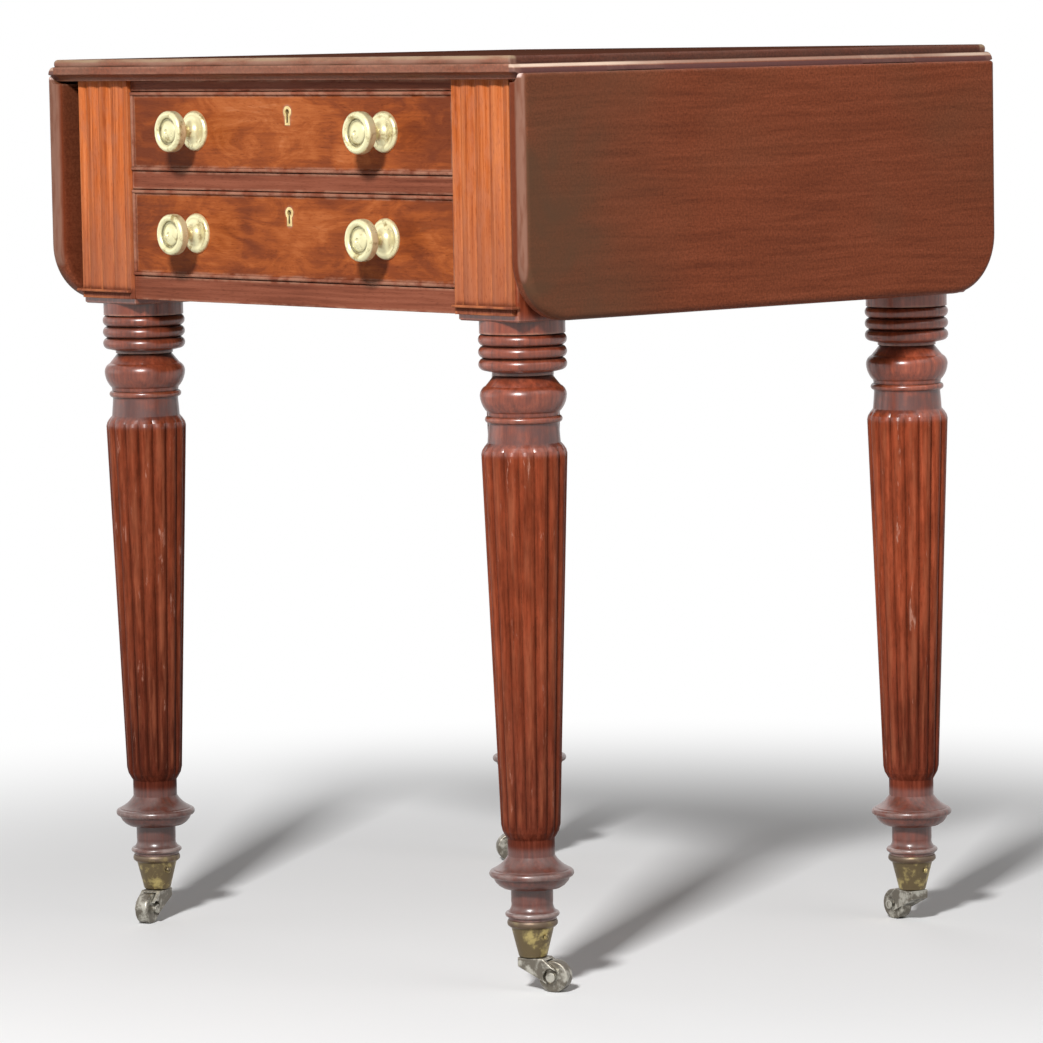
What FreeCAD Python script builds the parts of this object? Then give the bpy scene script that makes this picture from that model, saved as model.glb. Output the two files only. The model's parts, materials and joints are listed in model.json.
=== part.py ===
import FreeCAD, Part
import math
import os

from FreeCAD import Vector

# A drop-leaf work table in millimetres. The origin is on the floor under the
# centre of the whole outline, +X is towards the right leaf, the drawers face -Y
# and +Z is up. Sizes that can be chosen are here; everything else follows.

# Overall and case
table_height = 730.0
board = 18.0             # thickness of the fixed top and of both leaves
leg_span_x = 478.0       # between leg centres
leg_span_y = 427.0
post = 69.0              # square head of each leg
panel = 18.0             # case sides and back
back_inset = 3.0         # back panel behind the posts' outer face
tenon_length = 24.0
tenon_thickness = 9.0
tenon_shoulder = 12.0    # plain shoulder above and below a panel tenon

# Front rails and drawer openings, from the top board downwards
top_rail = 8.5
upper_opening = 66.5
middle_rail = 14.3
lower_opening = 72.6
bottom_rail = 19.2
rail_depth = 45.0
rail_shoulder = 2.5      # shoulder above and below a rail tenon
die_below_rail = 5.0     # the square post runs on below the bottom rail
die_chamfer = 1.2

# Fixed top and rule joint
front_overhang = 17.6    # top beyond the posts
back_overhang = 13.2
leaf_axis_out = 13.5     # hinge axis outside the posts' side faces
axis_depth = 5.0         # hinge axis above the top's underside
rule_radius = 7.0
rule_gap = 0.4
arris = 2.5              # worn upper edges of the rule joint
edge_under = 5.3         # height of the hollow under the end moulding
edge_under_depth = 7.0
edge_under_bow = 1.1     # hollowness of that underside
edge_band = 6.5          # lower band of the end moulding
edge_quirk = 1.8         # sink between band and upper round
edge_round = 1.4         # swelling of the upper round
edge_ease = 0.9          # rounding of the band's corners

# Leaves
leaf_drop = 190.0        # hinge axis to the leaf's free edge
leaf_corner = 48.0
leaf_end_inset = 2.0     # leaf ends inside the top's ends
leaf_outer_ease = 6.0
leaf_inner_ease = 5.0

# Table hinges
hinge_length = 60.0
hinge_place = 140.0      # hinge centres from the middle of the table
hinge_plate = 2.0
hinge_flap = 34.0        # plate width on the top
hinge_leaf_flap = 42.0   # plate width on the leaf
hinge_pin_radius = 1.5
knuckle_gap = 0.3
hinge_slot_gap = 1.0     # room around the knuckle and its neck
hinge_screw_length = 12.0
hinge_screw_edge = 8.0

# Wood screws
screw_radius = 1.8
screw_head_radius = 3.6
screw_head = 2.0
top_screw_length = 19.0
top_screw_places = (-120.0, 0.0, 120.0)
fit = 0.05               # radial play of pins and screws in their holes

# Runners, kickers and fly supports
bearer = 22.0            # width of the strip under a drawer side
guide_rise = 20.0
fly_thickness = 24.0
fly_inset = 1.0          # fly rail inside the posts' side faces
fly_height = 62.0
fly_drop = 0.4           # fly rail below the top's underside
fly_arm = 150.0          # length of the swinging bracket
fly_knuckle_y = 30.0
fly_fingers = 5
fly_pin_radius = 2.5
fly_gap = 0.6
fly_slant = 18.0         # sloped free end of the bracket

# Drawers
drawer_gap = 0.8         # round a drawer front in its opening
slide_gap = 0.3          # under a drawer side
drawer_back_gap = 21.5   # behind a closed drawer
front_thickness = 18.0
side_thickness = 9.0
side_top_gap = 3.0
back_thickness = 8.0
bottom_thickness = 6.0
bottom_rise = 6.0        # drawer bottom above the sides' lower edge
groove = 4.0
lap = 11.0               # drawer side let into the front
bead_width = 3.0
bead_depth = 8.0
bead_proud = 2.0
bead_nose = 1.35         # rounding of a cock bead's two front edges

# Knobs
knob_place = 119.5       # from the middle of the drawer
knob_reach = 30.5
knob_face = 33.5
knob_rim = 9.0           # thickness of the head
knob_roll = 3.0          # radius of the half-round ring along the head's front
knob_groove = 1.0        # plain ring between that and the domed middle
knob_dome = 0.75         # rounding of the domed middle
knob_dimple = 1.4        # radius of the small hollow in the middle
knob_pit = 0.7           # depth of that hollow
knob_back_ease = 1.6
knob_rose = 32.7
knob_stem = 9.6
knob_hollow = 2.2
knob_flare = 8.0         # trumpet behind the head
knob_rise = 9.0          # height of the rose's trumpet
knob_lip = 3.6           # rounded edge of the rose
knob_foot = 0.4          # upright foot of that edge
knob_screw_radius = 3.0
knob_screw_length = 14.0
knob_lift = 0.8          # knob centre above the middle of its opening

# Locks
lock_width = 52.0
lock_height = 27.0
lock_depth = 9.0
bolt_width = 16.0
bolt_depth = 4.0
bolt_height = 16.0
bolt_throw = 6.0
bolt_gap = 0.4
key_drop = 17.0          # keyhole centre below its opening's top edge
escutcheon_width = 9.6
escutcheon_height = 15.5
escutcheon_tail = 6.0    # width of the straight lower part
escutcheon_depth = 3.0
escutcheon_proud = 0.3
key_radius = 2.4
key_slot = 2.0

# Leg turning, from the square post downwards
drum = 10.2
drum_width = 67.0
bead_pitch = 9.6
bead_count = 3
bead_width_over = 69.0
bead_groove = 60.6
shoulder_drop = 3.5
shoulder_slope = 1.5
shoulder_width = 48.0
throat = 44.8
onion = 29.0
onion_slope = 8.5        # straight upper part of the onion
onion_slope_width = 58.6
onion_low = 12.9         # onion's widest place above its foot
onion_width = 67.6
onion_swell = 1.3        # rounding of the onion's sides
onion_foot = 56.4
ring_quirk = 2.8
ring = 5.4
ring_width = 60.4
ring_groove = 55.4
neck = 15.6
neck_top_width = 54.8
neck_foot_width = 57.0

# Reeded shaft
reed_count = 16
reed_turn = -5.6         # degrees from the table's X axis to the first groove
reed_top_width = 67.0
reed_foot_width = 46.6
reed_top_depth = 2.5
reed_foot_depth = 1.9
reed_tip = 8.6           # rounded upper ends of the reeds
reed_toe = 11.0          # rounded lower ends
reed_tip_steps = (0.3, 0.65, 1.0)    # shares of the tip's height that have a section
reed_toe_steps = (1.0, 0.55, 0.2)
pilaster_grooves = 4     # three whole reeds between them and a half reed at each edge
pilaster_pitch = 16.6
pilaster_depth = 1.8
pilaster_thickness = 4.0
pilaster_foot = 5.4      # plain plinth under the ledge
pilaster_ledge = 2.0
ledge_proud = 4.0        # ledge in front of the plinth and at its outer side
ledge_ease = 0.6

# Leg foot, from the reeding down to the caster
foot_neck = 13.5
foot_neck_width = 37.0
collar_width = 66.5
collar_rim = 6.0         # half-round edge of the collar
collar_slope = 10.9      # dished upper side of the collar
collar_under = 8.2
collar_step = 0.8
collar_ledge = 6.5       # flat underside round the ankle
collar_dish = 1.1
collar_swell = 1.2
ankle = 11.5
ankle_width = 33.0
foot_ring_width = 42.6
foot_ring_flare = 7.6    # hollow upper side of the foot ring
foot_ring_hollow = 1.2
foot_ring_rim = 4.0      # half-round edge of the foot ring
foot_ring_under = 2.4
foot_ring_seat = 37.0    # width where the ring meets the caster's cup

# Casters
wheel_width_over = 25.0
wheel_thickness = 11.0
wheel_ease = 1.6
axle_radius = 2.5
axle_head_radius = 3.8
axle_head = 0.9
trail = 19.0
cheek = 3.0
cheek_gap = 0.6
wheel_gap = 1.0
horn_ease = 1.0
horn_lift = 6.0          # cheeks above the floor
horn_neck = 9.5          # neck behind the pivot
horn_heel = 7.0          # upright back of the neck
horn_brow = 12.0         # neck ahead of the pivot
swivel_gap = 0.4
pintle_radius = 3.5
pintle_head_radius = 6.0
pintle_head = 3.0
pintle_room = 2.0        # between the rivet's head and the leg
cup_lift = 2.0           # cup above the top of the wheel
cup_base = 4.0
cup_foot_width = 22.7
cup_top_width = 33.0
cup_height = 24.0
cup_rim_proud = 3.3      # rim beyond the cup's upper width, all round
cup_rim = 5.4
cup_wall = 2.0
cup_rim_ease = 0.8
cup_neck = 1.6           # hollow under the rim
cup_ease = 1.5
cup_fit = 0.15
cup_screw_radius = 1.5
cup_screw_length = 9.0
cup_screw_head = 3.0
cup_screw_dome = 1.4
cup_screw_drop = 7.0     # below the cup's rim
caster_angles = {        # trail direction of each wheel, degrees from +X
    "front_left": 294.0,
    "front_right": 23.0,
    "back_left": 238.0,
    "back_right": 175.0,
}

# Places that follow from the sizes above
half_x = leg_span_x / 2
half_y = leg_span_y / 2
face_x = half_x + post / 2
face_y = half_y + post / 2
inner_x = half_x - post / 2
inner_y = half_y - post / 2
underside = table_height - board
front_end = -face_y - front_overhang
back_end = face_y + back_overhang
front_y = -face_y        # plane of the front posts, rails and drawer fronts
upper_top = underside - top_rail
upper_base = upper_top - upper_opening
lower_top = upper_base - middle_rail
lower_base = lower_top - lower_opening
case_base = lower_base - bottom_rail
die_base = case_base - die_below_rail
axis_x = face_x + leaf_axis_out
axis_z = underside + axis_depth
leaf_outer = axis_x + board - axis_depth
leaf_inner = axis_x - axis_depth
cove_radius = rule_radius + rule_gap
knuckle_radius = axis_depth - hinge_plate / 2
leaf_front = front_end + leaf_end_inset
leaf_back = back_end - leaf_end_inset
pilaster_width = pilaster_grooves * pilaster_pitch
fly_x = face_x - fly_inset - fly_thickness
side_x = fly_x - panel
back_y = face_y - back_inset - panel
cup_z = wheel_width_over + cup_lift
leg_foot_z = cup_z + cup_height + cup_rim
axle_z = wheel_width_over / 2
horn_boss = axle_z - horn_lift
drawer_end = back_y - drawer_back_gap
depth_shift = (front_y - knob_reach + back_end) / -2
quarter_bow = 1 - math.sqrt(0.5)    # rise of a quarter round's arc for a radius of one
touch = 0.01             # how near an edge lies to a plane to count as on it

os.makedirs("parts", exist_ok=True)


def save(name, shape):
    """Move a finished piece to the outline's centre and write it."""
    moved = shape.copy()
    moved.translate(Vector(0, depth_shift, 0))
    moved.exportStep("parts/" + name + ".step")


def block(x0, x1, y0, y1, z0, z1):
    """A box between two corners."""
    return Part.makeBox(x1 - x0, y1 - y0, z1 - z0, Vector(x0, y0, z0))


def rod(radius, length, base, direction):
    """A cylinder from a base point."""
    return Part.makeCylinder(radius, length, base, direction)


def joined(shapes):
    """One solid from pieces that share faces or overlap."""
    return shapes[0].fuse(shapes[1:]).removeSplitter()


def mirror_x(shape):
    """The same piece on the other side of the table."""
    return shape.mirror(Vector(0, 0, 0), Vector(1, 0, 0))


def arc_path(points):
    """Edges through (a, b, bulge) points; bulge swells the run that follows a point to its left."""
    edges = []
    for (a0, b0, bulge), (a1, b1, _) in zip(points, points[1:]):
        start = Vector(a0, b0, 0)
        end = Vector(a1, b1, 0)
        if bulge:
            chord = end - start
            side = Vector(-chord.y, chord.x, 0).normalize()
            middle = (start + end) * 0.5 + side * bulge
            edges.append(Part.Arc(start, middle, end).toShape())
        else:
            edges.append(Part.makeLine(start, end))
    return edges


def outline(points):
    """A flat face inside a closed outline of lines and arcs."""
    first = points[0]
    return Part.Face(Part.Wire(arc_path(points + [(first[0], first[1], 0)])))


def turned(points):
    """A solid of revolution about Z from (radius, height, bulge) points, top to bottom."""
    top = points[0][1]
    foot = points[-1][1]
    # The profile runs downwards, so a swelling to its left is an outward one.
    face = outline([(0, top, 0)] + points + [(0, foot, 0)])
    face.rotate(Vector(0, 0, 0), Vector(1, 0, 0), 90)
    return face.revolve(Vector(0, 0, 0), Vector(0, 0, 1), 360)


def wood_screw(length):
    """Countersunk screw along +Z with the flat of its head at the origin."""
    head = Part.makeCone(screw_head_radius, screw_radius, screw_head)
    shank = rod(screw_radius, length, Vector(0, 0, 0), Vector(0, 0, 1))
    return joined([head, shank])


def screw_hole(length):
    """The room for a wood screw, with its play."""
    rise = Vector(0, 0, 1)
    head = Part.makeCone(screw_head_radius + fit, screw_radius + fit, screw_head)
    shank = rod(screw_radius + fit, length + fit, Vector(0, 0, 0), rise)
    return joined([head, shank])


def placed(shape, place, axis=Vector(0, 1, 0), angle=0.0):
    """A copy turned about an axis at the origin and then moved."""
    copy = shape.copy()
    copy.rotate(Vector(0, 0, 0), axis, angle)
    copy.translate(place)
    return copy


# Fixed top: the end moulding runs along X and the rule joint along Y.
def moulded_half(end):
    """The board from its middle to a moulded end on the +Y side."""
    band_top = edge_under + edge_band
    corner = -edge_ease * quarter_bow
    profile = outline([
        (0, 0, 0),
        (end - edge_under_depth, 0, edge_under_bow),
        (end - edge_ease, edge_under, corner),
        (end, edge_under + edge_ease, 0),
        (end, band_top - edge_ease, corner),
        (end - edge_ease, band_top, 0),
        (end - edge_quirk, band_top, -edge_round),
        (end - edge_quirk - edge_round, board, 0),
        (0, board, 0),
    ])
    profile.rotate(Vector(0, 0, 0), Vector(1, 0, 0), 90)
    profile.rotate(Vector(0, 0, 0), Vector(0, 0, 1), 90)
    profile.translate(Vector(-leaf_outer, 0, underside))
    return profile.extrude(Vector(2 * leaf_outer, 0, 0))


def top_board():
    front = moulded_half(-front_end).mirror(Vector(0, 0, 0), Vector(0, 1, 0))
    along_x = joined([moulded_half(back_end), front])

    foot_x = axis_x + math.sqrt(rule_radius ** 2 - axis_depth ** 2)
    start_angle = -math.asin(axis_depth / rule_radius)
    sweep = math.pi / 2 - start_angle
    rule_bulge = rule_radius * (1 - math.cos(sweep / 2))
    rule_profile = [
        (0, underside, 0),
        (foot_x, underside, -rule_bulge),
        (axis_x, axis_z + rule_radius, 0),
        (axis_x, table_height - arris, -arris * quarter_bow),
        (axis_x - arris, table_height, 0),
        (0, table_height, 0),
    ]
    sides = outline(rule_profile)
    sides.rotate(Vector(0, 0, 0), Vector(1, 0, 0), 90)
    sides.translate(Vector(0, back_end, 0))
    along_y = sides.extrude(Vector(0, front_end - back_end, 0))
    along_y = joined([along_y, mirror_x(along_y)])

    top = along_x.common(along_y)
    return top.cut(hinge_rooms() + top_screw_holes())


# Table hinges. One hinge is drawn at the right-hand axis with its middle at y = 0.
def knuckle(y0, y1, radius):
    """A length of hinge barrel."""
    return rod(radius, y1 - y0, Vector(axis_x, y0, axis_z), Vector(0, 1, 0))


def knuckle_spans():
    """The two end knuckles and the middle one along Y."""
    end = hinge_length / 2
    third = hinge_length / 6
    return (-end, -third - knuckle_gap), (third + knuckle_gap, end), (-third, third)


def hinge_frame_plate():
    first, last, middle = knuckle_spans()
    end = hinge_length / 2
    plate = block(axis_x - hinge_flap, axis_x, -end, end, underside, underside + hinge_plate)
    room = block(axis_x - axis_depth - hinge_slot_gap, axis_x + knuckle_radius,
                 middle[0] - knuckle_gap, middle[1] + knuckle_gap,
                 underside, axis_z)
    plate = plate.cut(room)
    barrel = [knuckle(*first, knuckle_radius), knuckle(*last, knuckle_radius)]
    body = joined([plate] + barrel)
    body = body.cut(knuckle(-end, end, hinge_pin_radius + fit))
    return body.cut([placed(screw_hole(hinge_screw_length), p) for p in frame_screw_places()])


def hinge_leaf_plate():
    first, last, middle = knuckle_spans()
    end = hinge_length / 2
    flap_foot = axis_z - hinge_leaf_flap
    flap_head = axis_z - cove_radius - rule_gap
    flap = block(leaf_inner, leaf_inner + hinge_plate, -end, end, flap_foot, flap_head)
    neck_strap = block(leaf_inner, leaf_inner + hinge_plate, *middle, flap_head, axis_z)
    body = joined([flap, neck_strap, knuckle(*middle, knuckle_radius)])
    body = body.cut(knuckle(*middle, hinge_pin_radius + fit))
    holes = [placed(screw_hole(hinge_screw_length), p, angle=90) for p in leaf_screw_places()]
    return body.cut(holes)


def hinge_pin():
    end = hinge_length / 2
    return knuckle(-end, end, hinge_pin_radius)


def frame_screw_places():
    """Three screws in the plate under the top."""
    far = axis_x - hinge_flap + hinge_screw_edge
    near = axis_x - hinge_flap / 2
    reach = hinge_length / 3
    return [Vector(far, -reach, underside), Vector(far, reach, underside), Vector(near, 0, underside)]


def leaf_screw_places():
    """Three screws in the plate on the leaf."""
    far = axis_z - hinge_leaf_flap + hinge_screw_edge
    near = axis_z - hinge_leaf_flap / 2
    reach = hinge_length / 3
    return [Vector(leaf_inner, -reach, far), Vector(leaf_inner, reach, far), Vector(leaf_inner, 0, near)]


def hinge_places():
    """Offsets of the two hinges of one leaf."""
    return [Vector(0, -hinge_place, 0), Vector(0, hinge_place, 0)]


def both_sides(shape):
    """A hinge part at its four places."""
    right = [placed(shape, p) for p in hinge_places()]
    return right + [mirror_x(s) for s in right]


def hinge_rooms():
    """Recesses and screw holes of the hinges in the fixed top."""
    end = hinge_length / 2
    barrel = knuckle(-end - knuckle_gap, end + knuckle_gap, knuckle_radius + hinge_slot_gap / 2)
    slot = block(axis_x - axis_depth - hinge_slot_gap, axis_x + rule_radius + rule_gap,
                 -end - knuckle_gap, end + knuckle_gap, underside, axis_z)
    flap = block(axis_x - hinge_flap, axis_x, -end, end, underside, underside + hinge_plate)
    room = joined([barrel, slot, flap])
    holes = [placed(screw_hole(hinge_screw_length), p) for p in frame_screw_places()]
    rooms = []
    for piece in [room] + holes:
        rooms += both_sides(piece)
    return rooms


# Leaves, drawn hanging on the right-hand side.
def leaf():
    foot = axis_z - leaf_drop
    head = axis_z - rule_gap
    bow = leaf_corner * quarter_bow
    shape = outline([
        (leaf_back, head, 0),
        (leaf_front, head, 0),
        (leaf_front, foot + leaf_corner, -bow),
        (leaf_front + leaf_corner, foot, 0),
        (leaf_back - leaf_corner, foot, -bow),
        (leaf_back, foot + leaf_corner, 0),
    ])
    shape.rotate(Vector(0, 0, 0), Vector(1, 0, 0), 90)
    shape.rotate(Vector(0, 0, 0), Vector(0, 0, 1), 90)
    shape.translate(Vector(leaf_inner, 0, 0))
    slab = shape.extrude(Vector(leaf_outer - leaf_inner, 0, 0))
    slab = eased(slab, leaf_outer, leaf_outer_ease, head)
    slab = eased(slab, leaf_inner, leaf_inner_ease, head)
    lip = [e for e in slab.Edges
           if abs(e.BoundBox.XMin - leaf_outer) < touch and abs(e.BoundBox.ZMin - head) < touch]
    slab = slab.makeFillet(arris, lip)
    cove = rod(cove_radius, leaf_back - leaf_front, Vector(axis_x, leaf_front, axis_z), Vector(0, 1, 0))
    step = block(leaf_inner, axis_x, leaf_front, leaf_back, axis_z - cove_radius, axis_z)
    return slab.cut([cove, step] + leaf_rooms())


def eased(slab, x, radius, head):
    """Round the free edges of one face of a leaf, leaving its head sharp."""
    edges = []
    for edge in slab.Edges:
        box = edge.BoundBox
        on_face = abs(box.XMin - x) < touch and abs(box.XMax - x) < touch
        if on_face and box.ZMin < head - touch:
            edges.append(edge)
    return slab.makeFillet(radius, edges)


def leaf_rooms():
    """Recesses and screw holes of the hinges in one leaf."""
    end = hinge_length / 2
    flap = block(leaf_inner, leaf_inner + hinge_plate, -end, end,
                 axis_z - hinge_leaf_flap, axis_z - cove_radius)
    holes = [placed(screw_hole(hinge_screw_length), p, angle=90) for p in leaf_screw_places()]
    return [placed(s, p) for s in [flap] + holes for p in hinge_places()]


# Legs: a square post, turned members, a reeded shaft and a shaped foot.
def upper_turning():
    """Turned members under the post; also the height where the reeding starts."""
    z = die_base
    points = [(drum_width / 2, z, 0)]
    z -= drum
    points.append((drum_width / 2, z, 0))
    swell = (bead_width_over - bead_groove) / 2
    for _ in range(bead_count):
        points.append((bead_groove / 2, z, swell))
        z -= bead_pitch
    points.append((bead_groove / 2, z, 0))
    points.append((shoulder_width / 2, z - shoulder_slope, 0))
    z -= shoulder_drop
    points.append((shoulder_width / 2, z, 0))
    points.append((throat / 2, z, 0))
    onion_foot_z = z - onion
    low = onion_foot_z + onion_low
    points.append((onion_slope_width / 2, z - onion_slope, onion_swell))
    points.append((onion_width / 2, low, onion_swell))
    points.append((onion_foot / 2, onion_foot_z, 0))
    z = onion_foot_z - ring_quirk
    points.append((ring_groove / 2, z, (ring_width - ring_groove) / 2))
    z -= ring
    points.append((ring_groove / 2, z, 0))
    points.append((neck_top_width / 2, z - ring_quirk / 2, 0))
    z -= neck
    points.append((neck_foot_width / 2, z, 0))
    return turned(points), z


def reed_section(z, crest, depth):
    """Outline of the reeded shaft at one height: an arc for each reed."""
    pitch = 360.0 / reed_count
    valley = crest - depth
    edges = []
    for i in range(reed_count):
        start = polar(valley, reed_turn + i * pitch, z)
        middle = polar(crest, reed_turn + (i + 0.5) * pitch, z)
        end = polar(valley, reed_turn + (i + 1) * pitch, z)
        edges.append(Part.Arc(start, middle, end).toShape())
    return Part.Wire(edges)


def polar(radius, degrees, z):
    """A point from radius, angle and height."""
    turn = math.radians(degrees)
    return Vector(radius * math.cos(turn), radius * math.sin(turn), z)


def reeded_shaft(head, foot):
    """Tapering reeds with rounded ends between two round necks."""
    top = reed_top_width / 2
    toe = reed_foot_width / 2
    top_neck = neck_foot_width / 2
    toe_neck = foot_neck_width / 2
    sections = [reed_section(head, top_neck, 0)]
    for share in reed_tip_steps:
        swell = math.sin(share * math.pi / 2)
        sections.append(reed_section(head - share * reed_tip, top_neck + (top - top_neck) * swell,
                                     reed_top_depth * share))
    for share in reed_toe_steps:
        swell = math.sin(share * math.pi / 2)
        sections.append(reed_section(foot + share * reed_toe, toe_neck + (toe - toe_neck) * swell,
                                     reed_foot_depth * share))
    sections.append(reed_section(foot, toe_neck, 0))
    return Part.makeLoft(sections, True, True)


def foot_turning():
    """Collar, ankle and ring above the caster, with the plug inside its cup."""
    ring_foot = leg_foot_z + foot_ring_under
    ring_head = ring_foot + foot_ring_rim
    ring = foot_ring_width / 2 - foot_ring_rim / 2
    ankle_foot = ring_head + foot_ring_flare
    collar_foot = ankle_foot + ankle
    rim_foot = collar_foot + collar_under
    rim_head = rim_foot + collar_rim
    collar_head = rim_head + collar_slope
    head = collar_head + foot_neck
    rim = collar_width / 2 - collar_rim / 2
    plug_top = cup_top_width / 2 - cup_wall - cup_fit
    plug_foot = cup_foot_width / 2 - cup_wall - cup_fit
    plug_end = cup_z + cup_base + swivel_gap + pintle_head + pintle_room
    points = [
        (foot_neck_width / 2, head, 0),
        (foot_neck_width / 2, collar_head, -collar_dish),
        (rim - collar_step, rim_head + collar_step, 0),
        (rim, rim_head, collar_rim / 2),
        (rim, rim_foot, collar_swell),
        (ankle_width / 2 + collar_ledge, collar_foot, 0),
        (ankle_width / 2, collar_foot, 0),
        (ankle_width / 2, ankle_foot, -foot_ring_hollow),
        (ring, ring_head, foot_ring_rim / 2),
        (ring, ring_foot, 0),
        (foot_ring_seat / 2, leg_foot_z, 0),
        (plug_top, leg_foot_z, 0),
        (plug_foot, plug_end, 0),
    ]
    return turned(points), head


def leg(side, end):
    """One leg; side is -1 or 1 along X and end is -1 or 1 along Y."""
    upper, reed_head = upper_turning()
    lower, reed_foot = foot_turning()
    shaft = reeded_shaft(reed_head, reed_foot)
    half = post / 2
    die = block(-half, half, -half, half, die_base, underside)
    low_edges = [e for e in die.Edges if e.BoundBox.ZMax < die_base + touch]
    die = die.makeChamfer(die_chamfer, low_edges)
    solid = joined([die, upper, shaft, lower])
    solid.translate(Vector(side * half_x, end * half_y, 0))
    return solid.cut(mortises() + cup_screw_rooms())


# Case frame
def pilaster():
    """Reeded facing on the right-hand front post, with a ledge and a plinth at its foot."""
    front = front_y - pilaster_thickness
    ledge_z = case_base + pilaster_foot
    reed_z = ledge_z + pilaster_ledge
    outer = inner_x + pilaster_width
    height = underside - reed_z
    facing = block(inner_x, outer, front, front_y, case_base, underside)
    radius = (pilaster_pitch ** 2 / 4 + pilaster_depth ** 2) / (2 * pilaster_depth)
    strip = block(inner_x, outer, front, front + pilaster_depth, reed_z, underside)
    reeds = []
    for i in range(pilaster_grooves + 1):
        middle = Vector(inner_x + i * pilaster_pitch, front + radius, reed_z)
        reeds.append(rod(radius, height, middle, Vector(0, 0, 1)))
    facing = facing.cut(strip.cut(reeds))
    nose = front - ledge_proud
    ledge = block(inner_x, outer + ledge_proud, nose, front_y, ledge_z, reed_z)
    ledge = ledge.makeFillet(ledge_ease, [e for e in ledge.Edges if e.BoundBox.YMax < nose + touch])
    return joined([facing, ledge])


def side_panel():
    slab = block(side_x, side_x + panel, -inner_y, inner_y, case_base, underside)
    middle = side_x + panel / 2
    tenon = block(middle - tenon_thickness / 2, middle + tenon_thickness / 2,
                  -inner_y - tenon_length, inner_y + tenon_length,
                  case_base + tenon_shoulder, underside - tenon_shoulder)
    return joined([slab, tenon])


def back_panel():
    slab = block(-inner_x, inner_x, back_y, back_y + panel, case_base, underside)
    middle = back_y + panel / 2
    tenon = block(-inner_x - tenon_length, inner_x + tenon_length,
                  middle - tenon_thickness / 2, middle + tenon_thickness / 2,
                  case_base + tenon_shoulder, underside - tenon_shoulder)
    return joined([slab, tenon])


def front_rail(z0, z1):
    """A rail between the front posts with a tenon at each end."""
    bar = block(-inner_x, inner_x, front_y, front_y + rail_depth, z0, z1)
    tenon = block(-inner_x - tenon_length, inner_x + tenon_length,
                  front_y + tenon_shoulder, front_y + rail_depth - tenon_shoulder,
                  z0 + rail_shoulder, z1 - rail_shoulder)
    return joined([bar, tenon])


def rails():
    """The three front rails by name; the lock bolts shoot into the upper two."""
    return {
        "top_rail": front_rail(upper_top, underside).cut(bolt_room(upper_top)),
        "middle_rail": front_rail(upper_base - middle_rail, upper_base).cut(bolt_room(lower_top)),
        "bottom_rail": front_rail(case_base, lower_base),
    }


def mortises():
    """What the tenons take out of the posts."""
    side = side_panel()
    return [side, mirror_x(side), back_panel()] + list(rails().values())


def bearer_strip(z0, z1):
    """A strip at the right side under or over the drawer sides, with its block at the case side."""
    strip = block(inner_x - bearer, inner_x, front_y + rail_depth, back_y, z0, z1)
    pad = block(inner_x, side_x, -inner_y, inner_y, z0, z1)
    return joined([strip, pad])


def runner(z0, z1):
    """A bearer with the guide that keeps the drawer straight."""
    guide = block(inner_x, side_x, -inner_y, inner_y, z0, z1 + guide_rise)
    return joined([bearer_strip(z0, z1), guide])


def kicker():
    holes = [placed(screw_hole(top_screw_length), p) for p in top_screw_spots()]
    return bearer_strip(upper_top, underside).cut(holes)


def top_screw_spots():
    """Screws through the right-hand kicker into the top."""
    x = (inner_x + side_x) / 2
    return [Vector(x, y, upper_top) for y in top_screw_places]


def top_screw_holes():
    """Screw holes in the top over both kickers."""
    right = [placed(screw_hole(top_screw_length), p) for p in top_screw_spots()]
    return right + [mirror_x(h) for h in right]


def pair(shape):
    """A piece and its mirror image as one group of solids."""
    return Part.Compound([shape, mirror_x(shape)])


# Fly supports: a rail along the case side and a bracket on a wooden knuckle joint.
def fly_parts():
    """Fixed rail, bracket and pin of the right-hand side."""
    z1 = underside - fly_drop
    z0 = z1 - fly_height
    x0 = fly_x
    x1 = fly_x + fly_thickness
    middle = fly_x + fly_thickness / 2
    radius = fly_thickness / 2
    free = fly_knuckle_y - fly_arm
    centre = Vector(middle, fly_knuckle_y, z0)
    rise = Vector(0, 0, 1)
    barrel = rod(radius, fly_height, centre, rise)
    rear = joined([block(x0, x1, fly_knuckle_y, inner_y, z0, z1), barrel])
    arm = joined([block(x0, x1, free, fly_knuckle_y, z0, z1), barrel])
    wedge = outline([(x0, free, 0), (x1, free, 0), (x1, free + fly_slant, 0)])
    wedge.translate(Vector(0, 0, z0))
    slope = wedge.extrude(Vector(0, 0, fly_height))
    arm = arm.cut(slope)
    slope.translate(Vector(0, -fly_gap, 0))
    front = joined([block(x0, x1, -inner_y, free - fly_gap, z0, z1), slope])
    finger = fly_height / fly_fingers
    for i in range(fly_fingers):
        low = Vector(middle, fly_knuckle_y, z0 + i * finger - fly_gap / 2)
        room = rod(radius + fly_gap, finger + fly_gap, low, rise)
        if i % 2:
            rear = rear.cut(room)
        else:
            arm = arm.cut(room)
    hole = rod(fly_pin_radius + fit, fly_height, centre, rise)
    pin = rod(fly_pin_radius, fly_height, centre, rise)
    return [rear.cut(hole), front], arm.cut(hole), pin


# Drawers. Each is described by its opening.
drawers = {
    "upper": {"base": upper_base, "top": upper_top},
    "lower": {"base": lower_base, "top": lower_top},
}


def drawer_box(drawer):
    """Outer sizes of a drawer front: half width, lower and upper edge."""
    return inner_x - drawer_gap, drawer["base"] + drawer_gap, drawer["top"] - drawer_gap


def drawer_side(drawer):
    half, _, _ = drawer_box(drawer)
    z0 = drawer["base"] + slide_gap
    z1 = drawer["top"] - side_top_gap
    start = front_y + front_thickness - lap
    solid = block(half - side_thickness, half, start, drawer_end, z0, z1)
    slot = bottom_board(drawer)
    return solid.cut(slot)


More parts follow.
